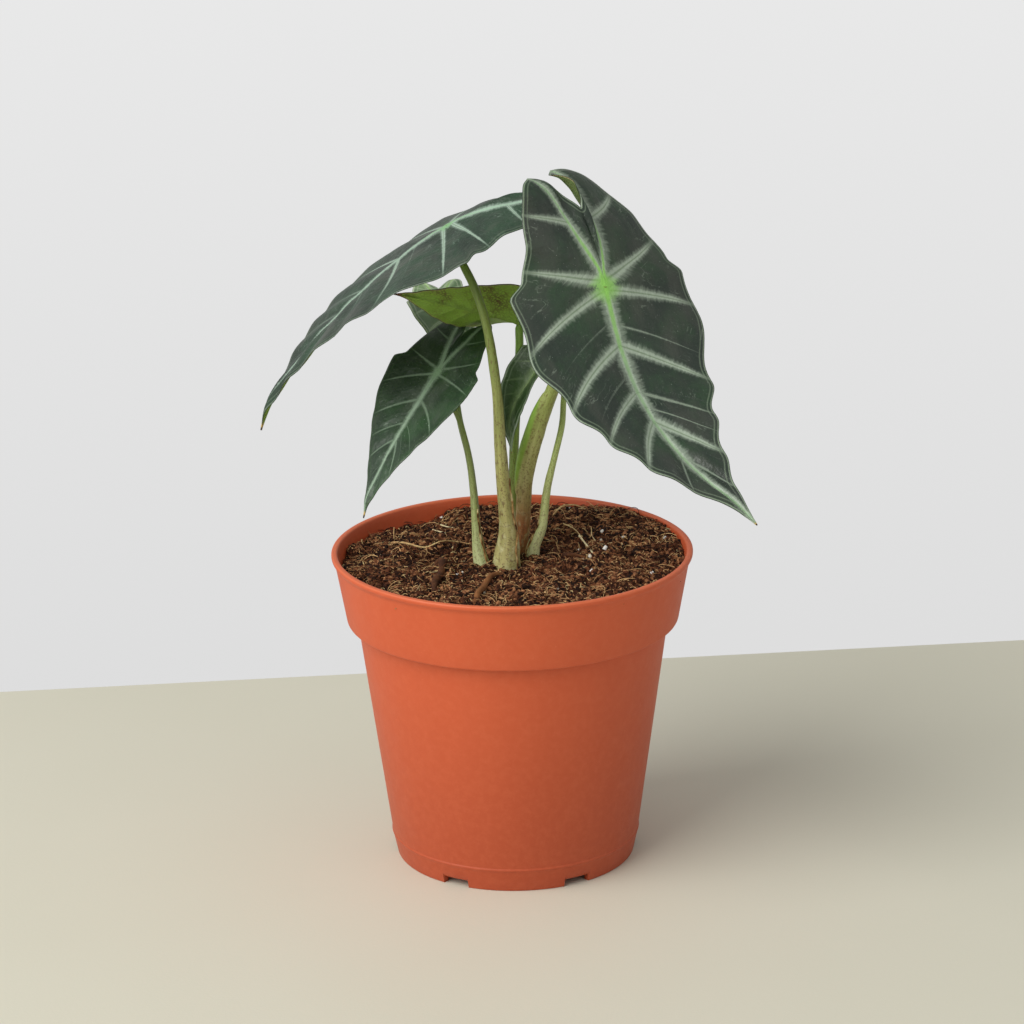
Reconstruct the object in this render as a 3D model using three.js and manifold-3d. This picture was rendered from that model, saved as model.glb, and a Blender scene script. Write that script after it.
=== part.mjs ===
// Potted alocasia: a young plant with six arrow-shaped leaves in a thin moulded grower's pot.
// Millimetres, +Z up. The origin is on the ground under the middle of the pot, the front is
// towards -Y. Every leaf is one flat arrow-shaped pattern that is bent along its midrib.

import * as THREE from 'three';
import { mergeVertices } from 'three/addons/utils/BufferGeometryUtils.js';
import Module from 'manifold-3d';

const wasm = await Module();
wasm.setup();

// ---------------------------------------------------------------- driving dimensions

const GAP = 0.3;                 // clearance between neighbouring pieces
const HOLE_ROOM = 0.5;           // widening of the holes in the mix round stalks and roots

const POT = {
  height: 97.3,
  segments: 60,
  wall: 1.0,
  lipRadius: 55.0,
  lipHeight: 2.2,
  bandTopRadius: 54.0,
  bandFootRadius: 50.6,
  bandFootZ: 75.8,
  bodyTopRadius: 47.5,
  mouldLineZ: 7.3,
  mouldLineRadius: 38.5,
  footRadius: 36.7,
  footWidth: 2.0,
  floorZ: 2.8,
  floorThickness: 1.2,
  padRadius: 13.0,
};

const FOOT_NOTCH = { count: 6, firstAngle: 0, width: 8.4, height: 2.4, length: 8 };
const DRAIN_HOLE = { count: 6, radius: 3.5, circle: 25, firstAngle: 30 };

const SOIL = {
  topZ: 92.2,
  rings: 6,
  mound: 0.6,
  heap: { centre: [30, 28], spread: 33, rise: 5.2 },
  lumpTwist: 5,
  lumps: [
    { waves: 5, turn: 0.4, rise: 0.55 },
    { waves: 8, turn: 2.1, rise: 0.4 },
    { waves: 13, turn: 4.0, rise: 0.3 },
  ],
};

const RHIZOME = {
  centre: [-1.5, 1.5],
  profile: [[0, 60], [5, 61], [9, 65], [11, 71], [11.5, 77], [10, 82], [6.5, 85], [0, 86]],
  sides: 14,
  rootRadius: 1.5,
  crownZ: 70,
  roots: [
    { angle: 20, reach: 30, fall: 26 },
    { angle: 95, reach: 27, fall: 34 },
    { angle: 160, reach: 31, fall: 22 },
    { angle: 230, reach: 26, fall: 36 },
    { angle: 305, reach: 30, fall: 30 },
  ],
};

// The flat leaf pattern, as fractions of the length from junction to tip: x runs along the
// midrib towards the tip, y is one half of the leaf.
const PATTERN = {
  margin: [
    [-0.455, 0.125], [-0.43, 0.175], [-0.36, 0.218], [-0.25, 0.25], [-0.12, 0.29], [0, 0.305],
    [0.12, 0.302], [0.25, 0.285], [0.4, 0.245], [0.55, 0.188], [0.7, 0.123], [0.84, 0.055],
    [0.93, 0.02], [1, 0],
  ],
  innerMargin: [[-0.27, 0], [-0.32, 0.025], [-0.38, 0.052], [-0.43, 0.085], [-0.455, 0.125]],
  lobeVein: [
    [0, 0], [-0.08, 0.04], [-0.16, 0.067], [-0.25, 0.088], [-0.33, 0.1], [-0.42, 0.118],
    [-0.455, 0.125],
  ],
  // Side veins in order from the lobe tip to the leaf tip: where each pair leaves the lobe veins
  // or the midrib, and where each meets the margin on the left and on the right half.
  veinFrom: [-0.455, -0.23, -0.016, 0.016, 0.207, 0.375, 0.49, 0.645, 1],
  veinTo: {
    left: [-0.455, -0.285, -0.135, 0.1, 0.45, 0.56, 0.73, 0.85, 1],
    right: [-0.455, -0.285, -0.11, 0.2, 0.4, 0.52, 0.65, 0.78, 1],
  },
  sinusStation: 1.5,
  junctionStation: 2.5,
  veinBend: [0.36, 0.54],
  scallop: 0.012,
  scallopShift: 0.2,
  lobeReach: 0.45,
  lobeFade: 0.08,
  shearReach: 0.16,
};

const BLADE = {
  thickness: 0.8,
  midribRise: 0.35,
  midribDrop: 1.3,
  midribWidth: 0.026,
  veinRise: 0.15,
  veinDrop: 0.6,
  veinWidth: 0.07,
  quilt: 0.012,
  ripple: 0.014,
  curlReach: 0.3,
  patternLength: 84,
  veinFade: 0.7,
  lobeRidge: 0.1,
  ribTaper: 0.75,
  faceReach: 0.045,
  midribSteps: 64,
};

// Where the four values of each bend are given: lobe tips, junction, half way, leaf tip.
const BEND_STATIONS = [-0.45, 0, 0.5, 1];

// Each leaf: length from junction to tip, breadth against the pattern, the junction's place, and
// in degrees the midrib's heading and pitch, the blade's roll about it and the fold of each half.
// sinusShift moves the sinus off the midline, in lengths, above 0 to the left.
const LEAVES = {
  left_long: {
    length: 84, breadth: 1.13, junction: [-18, -1, 198.5], fine: true,
    heading: [178, 186, 200, 170], pitch: [4, -30, -42, -71], roll: [-2, 0, 9, -4],
    foldLeft: [-13, -11, 3, -3], foldRight: [-11, -8, 0, 2], curl: [-2, -5],
    lobeLift: [0, -7], lobeSpread: [0, 0],
  },
  right_large: {
    length: 88, breadth: 1.13, junction: [28, -24, 185.5], fine: true,
    heading: [-30, -58, -46, -42], pitch: [-42, -69, -43, -27], roll: [3, -1, 7, 10],
    foldLeft: [0, -2, 14, 13], foldRight: [-3, -2, 11, 9], curl: [-7, -10],
    lobeLift: [-5, -3], lobeSpread: [-7, 5], sinusShift: -0.036,
  },
  lower_left: {
    length: 50.5, breadth: 1.03, junction: [-21.5, -1, 153.5], fine: true,
    heading: [232, 229, 223, 218], pitch: [-33, -40, -48, -73], roll: [3, -7, 0, 9],
    foldLeft: [3, 2, 2, 2], foldRight: [-3, 2, -2, -6], curl: [9, 11],
    lobeLift: [-3.6, -1], lobeSpread: [-1, 1],
  },
  back_turned: {
    length: 39.5, breadth: 1.05, junction: [3, 6.5, 166.5], fine: false,
    heading: [183, 190, 190, 179], pitch: [20, 19, 17, 9], roll: [46, 45, 57, 64],
    foldLeft: [30, 28, 3, -3], foldRight: [29, 30, 3, 0], curl: [-1, 0],
    lobeLift: [0, 0], lobeSpread: [0, 0],
  },
  small_centre: {
    length: 31, breadth: 0.9, junction: [10, 1.5, 155.5], fine: false,
    heading: [192, 181, 227, 315], pitch: [-46, -57, -49, -79], roll: [-55, -45, -36, -4],
    foldLeft: [40, 40, 50, 30], foldRight: [10, 7, 24, 13], curl: [20, 15],
    lobeLift: [0, 0], lobeSpread: [0, 0],
  },
  back_left: {
    length: 31.5, breadth: 1.11, junction: [-21, 30.5, 166], fine: false,
    heading: [267, 279, 295, 285], pitch: [-4, -27, -59, -82], roll: [2, -3, -13, -7],
    foldLeft: [4, 6, 7, 8], foldRight: [5, 7, 15, 12], curl: [-12, 0],
    lobeLift: [1, 0], lobeSpread: [2, 3],
  },
};

// Each petiole: the points its middle passes through from the rhizome up to the junction, and
// its radius at the foot, at the neck above the sheath, half way and at the top.
const PETIOLES = {
  left_long: {
    path: [[0.5, -4.5, 83], [-1.7, -5.2, 91.5], [-1, -6, 104], [-2, -7.5, 115], [-3, -10, 130.5],
      [-4, -11, 151], [-7, -10.5, 171.5], [-10, -8.5, 181], [-14.5, -5, 190], [-18, -1, 198.5]],
    radius: [5.0, 2.2, 1.5, 1.1], neck: 0.28,
  },
  right_large: {
    path: [[0.5, 5, 83], [1.5, 5.5, 92], [3, 5, 100.5], [4.5, 3, 118.5], [8.5, -1.5, 135.5],
      [11.5, -5, 145.5], [17, -12, 161.5], [23.5, -19.5, 176.5], [28, -24, 185.5]],
    radius: [2.5, 2.3, 2.1, 1.4], neck: 0.2,
  },
  lower_left: {
    path: [[-11, -2.5, 83], [-9.2, -3.5, 91.5], [-10.3, -3.5, 98.5], [-11, -3.5, 106],
      [-11.5, -3, 115.5], [-13, -2.5, 129], [-15.5, -1.5, 139], [-18.5, -1, 145.5],
      [-21.5, -1, 153.5]],
    radius: [3.2, 1.1, 0.9, 0.8], neck: 0.36,
  },
  back_turned: {
    path: [[-1, 10, 83], [-0.5, 10, 91.5], [0.5, 10.5, 109.5], [1, 10, 125.5], [2, 9, 141.5],
      [3, 7.5, 157.5], [3, 6.5, 166.5]],
    radius: [1.7, 1.5, 1.4, 1.2], neck: 0.15,
  },
  small_centre: {
    path: [[5.5, 1.5, 83], [6, 2, 92], [6.5, 2, 97], [9, 2, 103], [11, 2.5, 116],
      [13.5, 2.5, 126.5], [15.5, 3, 135], [16, 3, 141.5], [16, 2.5, 148], [13.5, 2.5, 153],
      [10, 1.5, 155.5]],
    radius: [2.7, 1.25, 1.0, 0.8], neck: 0.4,
  },
  back_left: {
    path: [[-8, 4, 83], [-8.5, 4.5, 91], [-10.5, 6.5, 101], [-11.5, 11, 112.5], [-13, 15.5, 122.5],
      [-15.5, 19, 132.5], [-17.5, 24, 147], [-19.5, 28, 159.5], [-21, 30.5, 166]],
    radius: [1.6, 1.2, 1.0, 0.8], neck: 0.15,
  },
};
const PETIOLE_SIDES = 9;
const HOLE_DEPTH = 3;             // how much further down than sideways a stalk's hole is widened
const PETIOLE_STEP = 6;
const PETIOLE_MIDDLE = 0.55;     // the share of the length at which the third radius is given
const TOP_ROOM = 0.7;            // cleared under a blade where its petiole ends

// The thin green wing of the sheath on the large leaf's petiole: a fin along its left side.
const WING = {
  petiole: 'right_large', from: 0.27, to: 0.6, reach: 2.2, direction: [-1, -0.35, 0.2],
  narrowness: 8, bluntness: 0.5,
};

const COLOURS = {
  pot: { color: 0xc4562c, roughness: 0.55 },
  soil: { color: 0x4b2d1d, roughness: 1.0 },
  rhizome: { color: 0x8b6b46, roughness: 0.9 },
  petiole: { color: 0x7f8f3d, roughness: 0.5 },
  blade: { color: 0x2b4436, roughness: 0.45 },
};

// ---------------------------------------------------------------- solids

const { degToRad, lerp, clamp, smoothstep } = THREE.MathUtils;

function solid(geometry) {
  const bare = geometry.index ? geometry.clone() : geometry;
  bare.deleteAttribute('normal');
  bare.deleteAttribute('uv');
  const merged = mergeVertices(bare, 1e-4);
  return new wasm.Manifold(new wasm.Mesh({
    numProp: 3,
    vertProperties: new Float32Array(merged.attributes.position.array),
    triVerts: new Uint32Array(merged.index.array),
  }));
}

function closedGeometry(points, faces) {
  const geometry = new THREE.BufferGeometry();
  geometry.setAttribute('position', new THREE.Float32BufferAttribute(points.flat(), 3));
  geometry.setIndex(faces.flat());
  return geometry;
}

function geometryOf(body) {
  const mesh = body.getMesh();
  const geometry = new THREE.BufferGeometry();
  geometry.setAttribute('position', new THREE.Float32BufferAttribute(mesh.vertProperties, 3));
  geometry.setIndex(Array.from(mesh.triVerts));
  return geometry;
}

function largestPiece(body) {
  const pieces = body.decompose();
  return pieces.reduce((best, piece) => (piece.volume() > best.volume() ? piece : best));
}

function named(name, body, look) {
  const material = new THREE.MeshStandardMaterial({ metalness: 0, side: THREE.DoubleSide, ...look });
  const mesh = new THREE.Mesh(geometryOf(body), material);
  mesh.name = name;
  return mesh;
}

// A closed turned solid round Z from an outline of [radius, height] points.
function turned(outline, segments) {
  const profile = outline.map(([radius, height]) => new THREE.Vector2(radius, height));
  const geometry = new THREE.LatheGeometry(profile, segments);
  geometry.rotateX(Math.PI / 2);
  return solid(geometry);
}

// A closed round bar along a curve. radiusAt(share) gives its radius, and bulge(share, direction)
// what it stands out further in a direction.
function bar(curve, steps, sides, radiusAt, bulge = () => 0) {
  const frames = curve.computeFrenetFrames(steps, false);
  const points = [];
  const faces = [];
  for (let step = 0; step <= steps; step++) {
    const share = step / steps;
    const middle = curve.getPointAt(share);
    for (let side = 0; side < sides; side++) {
      const turn = (2 * Math.PI * side) / sides;
      const out = frames.normals[step].clone().multiplyScalar(Math.cos(turn));
      out.addScaledVector(frames.binormals[step], Math.sin(turn));
      const reach = radiusAt(share) + bulge(share, out);
      points.push(middle.clone().addScaledVector(out, reach).toArray());
    }
  }
  const ring = (step, side) => step * sides + (side % sides);
  for (let step = 0; step < steps; step++) {
    for (let side = 0; side < sides; side++) {
      const [a, b] = [ring(step, side), ring(step, side + 1)];
      const [c, d] = [ring(step + 1, side + 1), ring(step + 1, side)];
      faces.push([a, b, c], [a, c, d]);
    }
  }
  const foot = points.push(curve.getPointAt(0).toArray()) - 1;
  const top = points.push(curve.getPointAt(1).toArray()) - 1;
  for (let side = 0; side < sides; side++) {
    faces.push([foot, ring(0, side + 1), ring(0, side)]);
    faces.push([top, ring(steps, side), ring(steps, side + 1)]);
  }
  return solid(closedGeometry(points, faces));
}

// ---------------------------------------------------------------- pot

function bandInnerRadiusAt(height) {
  const share = (height - POT.bandFootZ) / (POT.height - POT.bandFootZ);
  return lerp(POT.bandFootRadius, POT.bandTopRadius, share) - POT.wall;
}

function bodyOuterRadiusAt(height) {
  const share = (height - POT.mouldLineZ) / (POT.bandFootZ - POT.mouldLineZ);
  return lerp(POT.mouldLineRadius - 0.3, POT.bodyTopRadius, share);
}

// The pot's outline, from the middle of the standing pad out and up, over the lip and back down.
function potOutline() {
  const { height, wall, lipRadius, lipHeight, bandTopRadius, bandFootRadius, bandFootZ } = POT;
  const { mouldLineZ, mouldLineRadius, footRadius, footWidth, floorZ, floorThickness } = POT;
  const floorTop = floorZ + floorThickness;
  const ledgeZ = bandFootZ + wall;
  return [
    [0, 0], [POT.padRadius, 0], [POT.padRadius + 1.2, floorZ],
    [footRadius - footWidth, floorZ], [footRadius - footWidth, 0], [footRadius, 0],
    [mouldLineRadius - 0.3, mouldLineZ - 0.5], [mouldLineRadius, mouldLineZ],
    [bodyOuterRadiusAt(mouldLineZ + 0.6), mouldLineZ + 0.6],
    [bodyOuterRadiusAt(bandFootZ), bandFootZ],
    [bandFootRadius - 0.4, bandFootZ], [bandFootRadius, bandFootZ + 0.4],
    [bandTopRadius, height - lipHeight], [lipRadius - 0.3, height - lipHeight + 0.5],
    [lipRadius, height - 0.9], [lipRadius - 0.3, height - 0.25], [lipRadius - 0.9, height],
    [lipRadius - 1.5, height - 0.2], [bandInnerRadiusAt(height - 1), height - 1],
    [bandInnerRadiusAt(ledgeZ), ledgeZ], [bodyOuterRadiusAt(ledgeZ) - wall, ledgeZ],
    [bodyOuterRadiusAt(floorTop + 2) - wall, floorTop + 2], [footRadius - 2, floorTop],
    [POT.padRadius + 0.4, floorTop], [POT.padRadius - 0.8, floorThickness], [0, floorThickness],
  ];
}

function pot() {
  let body = turned(potOutline(), POT.segments);
  const notch = new THREE.BoxGeometry(FOOT_NOTCH.length, FOOT_NOTCH.width, 2 * FOOT_NOTCH.height);
  notch.translate(POT.footRadius, 0, 0);
  for (let index = 0; index < FOOT_NOTCH.count; index++) {
    const angle = FOOT_NOTCH.firstAngle + (360 / FOOT_NOTCH.count) * index;
    body = body.subtract(solid(notch.clone().rotateZ(degToRad(angle))));
  }
  const drill = new THREE.CylinderGeometry(DRAIN_HOLE.radius, DRAIN_HOLE.radius, 12, 16);
  drill.rotateX(Math.PI / 2).translate(DRAIN_HOLE.circle, 0, POT.floorZ);
  for (let index = 0; index < DRAIN_HOLE.count; index++) {
    const angle = DRAIN_HOLE.firstAngle + (360 / DRAIN_HOLE.count) * index;
    body = body.subtract(solid(drill.clone().rotateZ(degToRad(angle))));
  }
  return body;
}

// ---------------------------------------------------------------- potting mix

// The height of the mix: a low mound, a heap against the wall behind and on the right, and lumps.
function soilHeightAt(x, y) {
  const reach = Math.hypot(x, y) / POT.bandTopRadius;
  const turn = Math.atan2(y, x);
  const { mound, heap } = SOIL;
  const fromHeap = Math.hypot(x - heap.centre[0], y - heap.centre[1]) / heap.spread;
  const heaped = heap.rise * Math.exp(-(fromHeap ** 2)) * Math.min(1, reach);
  let height = SOIL.topZ + mound * (1 - reach * reach) + heaped;
  for (const lump of SOIL.lumps) {
    const phase = lump.waves * turn + lump.turn + SOIL.lumpTwist * reach;
    height += lump.rise * Math.sin(phase) * Math.min(1, 2 * reach);
  }
  return height;
}

function soil() {
  const { segments } = POT;
  const floorTop = POT.floorZ + POT.floorThickness + GAP;
  const ledgeZ = POT.bandFootZ + POT.wall + GAP;
  const side = [
    [POT.footRadius - 2 - GAP, floorTop],
    [bodyOuterRadiusAt(floorTop + 2) - POT.wall - GAP, floorTop + 2],
    [bodyOuterRadiusAt(ledgeZ) - POT.wall - GAP, ledgeZ],
    [bandInnerRadiusAt(ledgeZ) - GAP, ledgeZ],
  ];
  const points = [[0, 0, floorTop]];
  const faces = [];
  const spoke = (turnIndex) => (2 * Math.PI * (turnIndex % segments)) / segments;
  const addRing = (radiusAt, heightAt) => {
    for (let index = 0; index < segments; index++) {
      const radius = radiusAt(index);
      const [x, y] = [radius * Math.cos(spoke(index)), radius * Math.sin(spoke(index))];
      points.push([x, y, heightAt(x, y)]);
    }
  };
  const wallReach = (index) => {
    const level = bandInnerRadiusAt(SOIL.topZ) - GAP;
    const [x, y] = [level * Math.cos(spoke(index)), level * Math.sin(spoke(index))];
    return bandInnerRadiusAt(soilHeightAt(x, y)) - GAP;
  };
  side.forEach(([radius, height]) => addRing(() => radius, () => height));
  for (let ring = SOIL.rings; ring > 0; ring--) {
    const share = ring / SOIL.rings;
    addRing((index) => share * wallReach(index), soilHeightAt);
  }
  const rings = side.length + SOIL.rings;
  const at = (ring, index) => 1 + ring * segments + (index % segments);
  const top = points.push([0, 0, soilHeightAt(0, 0)]) - 1;
  for (let index = 0; index < segments; index++) {
    faces.push([0, at(0, index + 1), at(0, index)]);
    faces.push([top, at(rings - 1, index), at(rings - 1, index + 1)]);
    for (let ring = 0; ring < rings - 1; ring++) {
      const [a, b] = [at(ring, index), at(ring, index + 1)];
      const [c, d] = [at(ring + 1, index + 1), at(ring + 1, index)];
      faces.push([a, b, c], [a, c, d]);
    }
  }
  return solid(closedGeometry(points, faces));
}

// ---------------------------------------------------------------- rhizome

// An outline moved out of its solid by an even distance. Its ends stay on the axis.
function grownOutline(outline, grow) {
  return outline.map(([radius, height], index) => {
    const before = outline[Math.max(index - 1, 0)];
    const after = outline[Math.min(index + 1, outline.length - 1)];
    const run = [after[0] - before[0], after[1] - before[1]];
    const length = Math.hypot(...run);
    const onAxis = [0, index === 0 ? -1 : 1];
    const out = radius === 0 ? onAxis : [run[1] / length, -run[0] / length];
    return [radius + grow * out[0], height + grow * out[1]];
  });
}

function rhizome(grow) {
  const [x, y] = RHIZOME.centre;
  const outline = grownOutline(RHIZOME.profile, grow * 1.1);
  let body = turned(outline, RHIZOME.sides).translate([x, y, 0]);
  for (const root of RHIZOME.roots) {
    const turn = degToRad(root.angle);
    const along = (reach, height) => new THREE.Vector3(
      x + reach * Math.cos(turn), y + reach * Math.sin(turn), height);
    const { crownZ } = RHIZOME;
    const curve = new THREE.CatmullRomCurve3([
      along(6, crownZ), along(root.reach * 0.55, crownZ - 2),
      along(root.reach * 0.85, crownZ - root.fall * 0.4),
      along(root.reach, crownZ - root.fall - grow),
    ]);
    const radiusAt = (share) => RHIZOME.rootRadius * (1 - 0.55 * share) + grow;
    body = body.add(bar(curve, 7, 6, radiusAt));
  }
  return body;
}

// ---------------------------------------------------------------- leaf pattern

const MARGIN = patternCurve(PATTERN.margin);
const INNER_MARGIN = patternCurve(PATTERN.innerMargin);
const LOBE_VEIN = patternCurve(PATTERN.lobeVein);

function patternCurve(points) {
  const curve = new THREE.SplineCurve(points.map(([x, y]) => new THREE.Vector2(x, y)));
  return curve.getPoints(points.length * 12).map((point) => [point.x, point.y]);
}

// The curve's y where it passes x.
function heightOver(samples, x) {
  const rising = samples[samples.length - 1][0] > samples[0][0];
  for (let index = 1; index < samples.length; index++) {
    const [before, after] = [samples[index - 1], samples[index]];
    if (rising ? after[0] >= x : after[0] <= x) {
      const share = (x - before[0]) / (after[0] - before[0] || 1);
      return lerp(before[1], after[1], clamp(share, 0, 1));
    }
  }
  return samples[samples.length - 1][1];
}

// A value between the entries of a list, at a fractional place in it.
function between(list, place) {
  const index = Math.min(Math.floor(place), list.length - 2);
  return lerp(list[index], list[index + 1], place - index);
}

// Where the cross line of a station starts: on the lobe vein, or on the midrib past the junction.
function spinePoint(station) {
  const x = between(PATTERN.veinFrom, station);
  return x < 0 ? [x, heightOver(LOBE_VEIN, x)] : [x, 0];
}

// Where it ends, on the scalloped margin.
function marginPoint(veinTo, station) {
  const x = station < 1 ? lerp(veinTo[0], veinTo[1], station ** 2) : between(veinTo, station);
  const last = veinTo.length - 1;
  const fade = Math.sin((Math.PI * station) / last);
  const wave = Math.cos(2 * Math.PI * (station - PATTERN.scallopShift));
  return [x, heightOver(MARGIN, x) + PATTERN.scallop * wave * fade];
}

// Where the inner cross line of a lobe's station ends: on the line from the junction back to the
// sinus, then on the lobe's inner margin.
function sinusPoint(station) {
  const { sinusStation, junctionStation } = PATTERN;
  const sinusX = PATTERN.innerMargin[0][0];
  const tipX = PATTERN.innerMargin[PATTERN.innerMargin.length - 1][0];
  if (station >= sinusStation) {
    const share = (junctionStation - station) / (junctionStation - sinusStation);
    return [sinusX * share, 0];
  }
  const share = 1 - station / sinusStation;
  const x = lerp(sinusX, tipX, share);
  return [x, heightOver(INNER_MARGIN, x)];
}

// A point of an outer cross line, which leaves its vein steeply and bends towards the tip.
function crossPoint(start, end, share) {
  const bend = [
    start[0] + PATTERN.veinBend[0] * (end[0] - start[0]),
    start[1] + PATTERN.veinBend[1] * (end[1] - start[1]),
  ];
  const weights = [(1 - share) ** 2, 2 * share * (1 - share), share ** 2];
  return [0, 1].map((axis) => weights[0] * start[axis] + weights[1] * bend[axis]
    + weights[2] * end[axis]);
}

// ---------------------------------------------------------------- bending a leaf

// The smooth run through four values given at the bend stations.
function bendAt(values, x) {
  return values.reduce((sum, value, i) => {
    const weight = BEND_STATIONS.reduce((product, station, j) => (
      i === j ? product : product * ((x - station) / (BEND_STATIONS[i] - station))), 1);
    return sum + value * weight;
  }, 0);
}

// The midrib's direction, the blade's left and its upper face, at x along the midrib.
function axesAt(leaf, x) {
  const heading = degToRad(bendAt(leaf.heading, x));
  const pitch = degToRad(bendAt(leaf.pitch, x));
  const along = new THREE.Vector3(
    Math.cos(pitch) * Math.cos(heading), Math.cos(pitch) * Math.sin(heading), Math.sin(pitch));
  const left = new THREE.Vector3(-Math.sin(heading), Math.cos(heading), 0);
  left.applyAxisAngle(along, degToRad(bendAt(leaf.roll, x)));
  return { along, left, up: new THREE.Vector3().crossVectors(along, left) };
}

// The midrib's places, summed up in small steps both ways from the junction.
function midrib(leaf) {
  const count = BLADE.midribSteps;
  const walk = (end) => {
    const places = [new THREE.Vector3(...leaf.junction)];
    const step = end / count;
    for (let index = 0; index < count; index++) {
      const { along } = axesAt(leaf, (index + 0.5) * step);
      places.push(places[index].clone().addScaledVector(along, step * leaf.length));
    }
    return places;
  };
  const [ahead, behind] = [walk(1), walk(-0.5)];
  return (x) => {
    const [places, end] = x < 0 ? [behind, -0.5] : [ahead, 1];
    const place = clamp((x / end) * count, 0, count);
    const index = Math.min(Math.floor(place), count - 1);
    return places[index].clone().lerp(places[index + 1], place - index);
  };
}

// y in a leaf whose sinus lies off the midline.
function shearedY(leaf, x, y) {
  const sinusX = PATTERN.innerMargin[0][0];
  const weight = smoothstep(x / sinusX, 0, 1) * (1 - smoothstep(Math.abs(y), 0, PATTERN.shearReach));
  return y + (leaf.sinusShift ?? 0) * weight;
}

// The place in space of a point of the flat pattern. y is positive on the leaf's left half.
function bentPoint(leaf, midribAt, x, flatY) {
  const y = shearedY(leaf, x, flatY);
  const half = y < 0 ? 1 : 0;
  const side = y < 0 ? -1 : 1;
  const out = Math.abs(y) * leaf.length * leaf.breadth;
  const fold = degToRad(bendAt(half ? leaf.foldRight : leaf.foldLeft, x));
  const curl = (degToRad(leaf.curl[half]) || 1e-6) / (BLADE.curlReach * leaf.length);
  const { lobeReach, lobeFade } = PATTERN;
  const lobe = (Math.max(0, -x) / lobeReach) ** 2 * smoothstep(Math.abs(y), 0, lobeFade);
  const across = (Math.sin(fold + curl * out) - Math.sin(fold)) / curl
    + leaf.lobeSpread[half] * lobe;
  const rise = (Math.cos(fold) - Math.cos(fold + curl * out)) / curl + leaf.lobeLift[half] * lobe;
  const { left, up } = axesAt(leaf, x);
  return midribAt(x).addScaledVector(left, side * across).addScaledVector(up, rise);
}

function faceDirection(leaf, midribAt, x, y) {
  const reach = BLADE.faceReach;
  const ahead = bentPoint(leaf, midribAt, x + reach, y);
  const behind = bentPoint(leaf, midribAt, x - reach, y);
  const leftwards = bentPoint(leaf, midribAt, x, y + reach);
  const rightwards = bentPoint(leaf, midribAt, x, y - reach);
  return ahead.sub(behind).cross(leftwards.sub(rightwards)).normalize();
}

// ---------------------------------------------------------------- blade

const ridge = (distance, width) => Math.exp(-((distance / width) ** 2));

// How far the two faces stand off the blade's middle, and how far its middle is lifted.
function relief(leaf, x, y, station, share) {
  const nearest = Math.abs(station - Math.round(station));
  const sideVein = ridge(nearest, BLADE.veinWidth) * (1 - BLADE.veinFade * share);
  const mainVein = x < 0 ? ridge(share, BLADE.lobeRidge) : ridge(y, BLADE.midribWidth);
  const taper = x < 0 ? BLADE.ribTaper + x : 1 - BLADE.ribTaper * x;
  const scale = leaf.length / BLADE.patternLength;
  const cell = Math.sin(Math.PI * station) ** 2;
  const lift = BLADE.quilt * cell * Math.sin(Math.PI * share)
    + BLADE.ripple * (cell - 0.5) * share ** 4;
  return {
    lift: lift * leaf.length,
    rise: (BLADE.midribRise * mainVein * taper + BLADE.veinRise * sideVein) * scale,
    drop: (BLADE.midribDrop * mainVein * taper + BLADE.veinDrop * sideVein) * scale,
  };
}

// The stations and shares at which a blade has its rows of points.
function rowsFor(leaf) {
  const last = PATTERN.veinFrom.length - 1;
  const stations = [0];
  for (let vein = 0; vein < last; vein++) {
    const steps = leaf.fine ? [0.11, 0.5, 0.89, 1] : [0.14, 0.5, 0.86, 1];
    steps.forEach((step) => stations.push(vein + step));
  }
  const kept = stations.filter((station) => (
    (station === 0 || station > 0.3) && (station < last - 0.3 || station === last)));
  return {
    stations: kept,
    outer: leaf.fine ? [0, 0.09, 0.33, 0.66, 1] : [0, 0.14, 0.55, 1],
    inner: leaf.fine ? [0, 0.3, 0.65, 1] : [0, 0.4, 1],
  };
}

// The flat net of a whole leaf: points of the pattern, each used once, and its triangles.
function leafNet(leaf) {
  const { stations, outer, inner } = rowsFor(leaf);
  const net = { points: [], faces: [], places: new Map() };
  const add = (x, y, station, share) => {
    const key = `${x.toFixed(4)},${(y || 0).toFixed(4)}`.replace('-0.0000', '0.0000');
    if (!net.places.has(key)) {
      net.places.set(key, net.points.length);
      net.points.push({ x, y, station, share });
    }
    return net.places.get(key);
  };
  const addFace = (a, b, c, side) => {
    if (a === b || b === c || a === c) return;
    net.faces.push(side > 0 ? [a, b, c] : [a, c, b]);
  };
  const addStrip = (rows, side) => {
    for (let row = 1; row < rows.length; row++) {
      for (let place = 1; place < rows[row].length; place++) {
        const [a, b] = [rows[row - 1][place - 1], rows[row][place - 1]];
        const [c, d] = [rows[row][place], rows[row - 1][place]];
        addFace(a, b, c, side);
        addFace(a, c, d, side);
      }
    }
  };
  for (const side of [1, -1]) {
    const veinTo = side > 0 ? PATTERN.veinTo.left : PATTERN.veinTo.right;
    addStrip(stations.map((station) => {
      const [start, end] = [spinePoint(station), marginPoint(veinTo, station)];
      return outer.map((share) => {
        const [x, y] = crossPoint(start, end, share);
        return add(x, side * y, station, share);
      });
    }), side);
    const lobe = stations.filter((station) => station <= PATTERN.junctionStation);
    addStrip(lobe.map((station) => {
      const [start, end] = [spinePoint(station), sinusPoint(station)];
      return inner.map((share) => (
        add(lerp(start[0], end[0], share), side * lerp(start[1], end[1], share), station, share)));
    }), -side);
  }
  return net;
}

// Edges that belong to one triangle only, in the direction that triangle runs.
function openEdges(faces) {
  const edges = new Map();
  faces.forEach(([a, b, c]) => [[a, b], [b, c], [c, a]].forEach(([from, to]) => {
    if (edges.has(`${to},${from}`)) edges.delete(`${to},${from}`);
    else edges.set(`${from},${to}`, [from, to]);
  }));
  return [...edges.values()];
}

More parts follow.
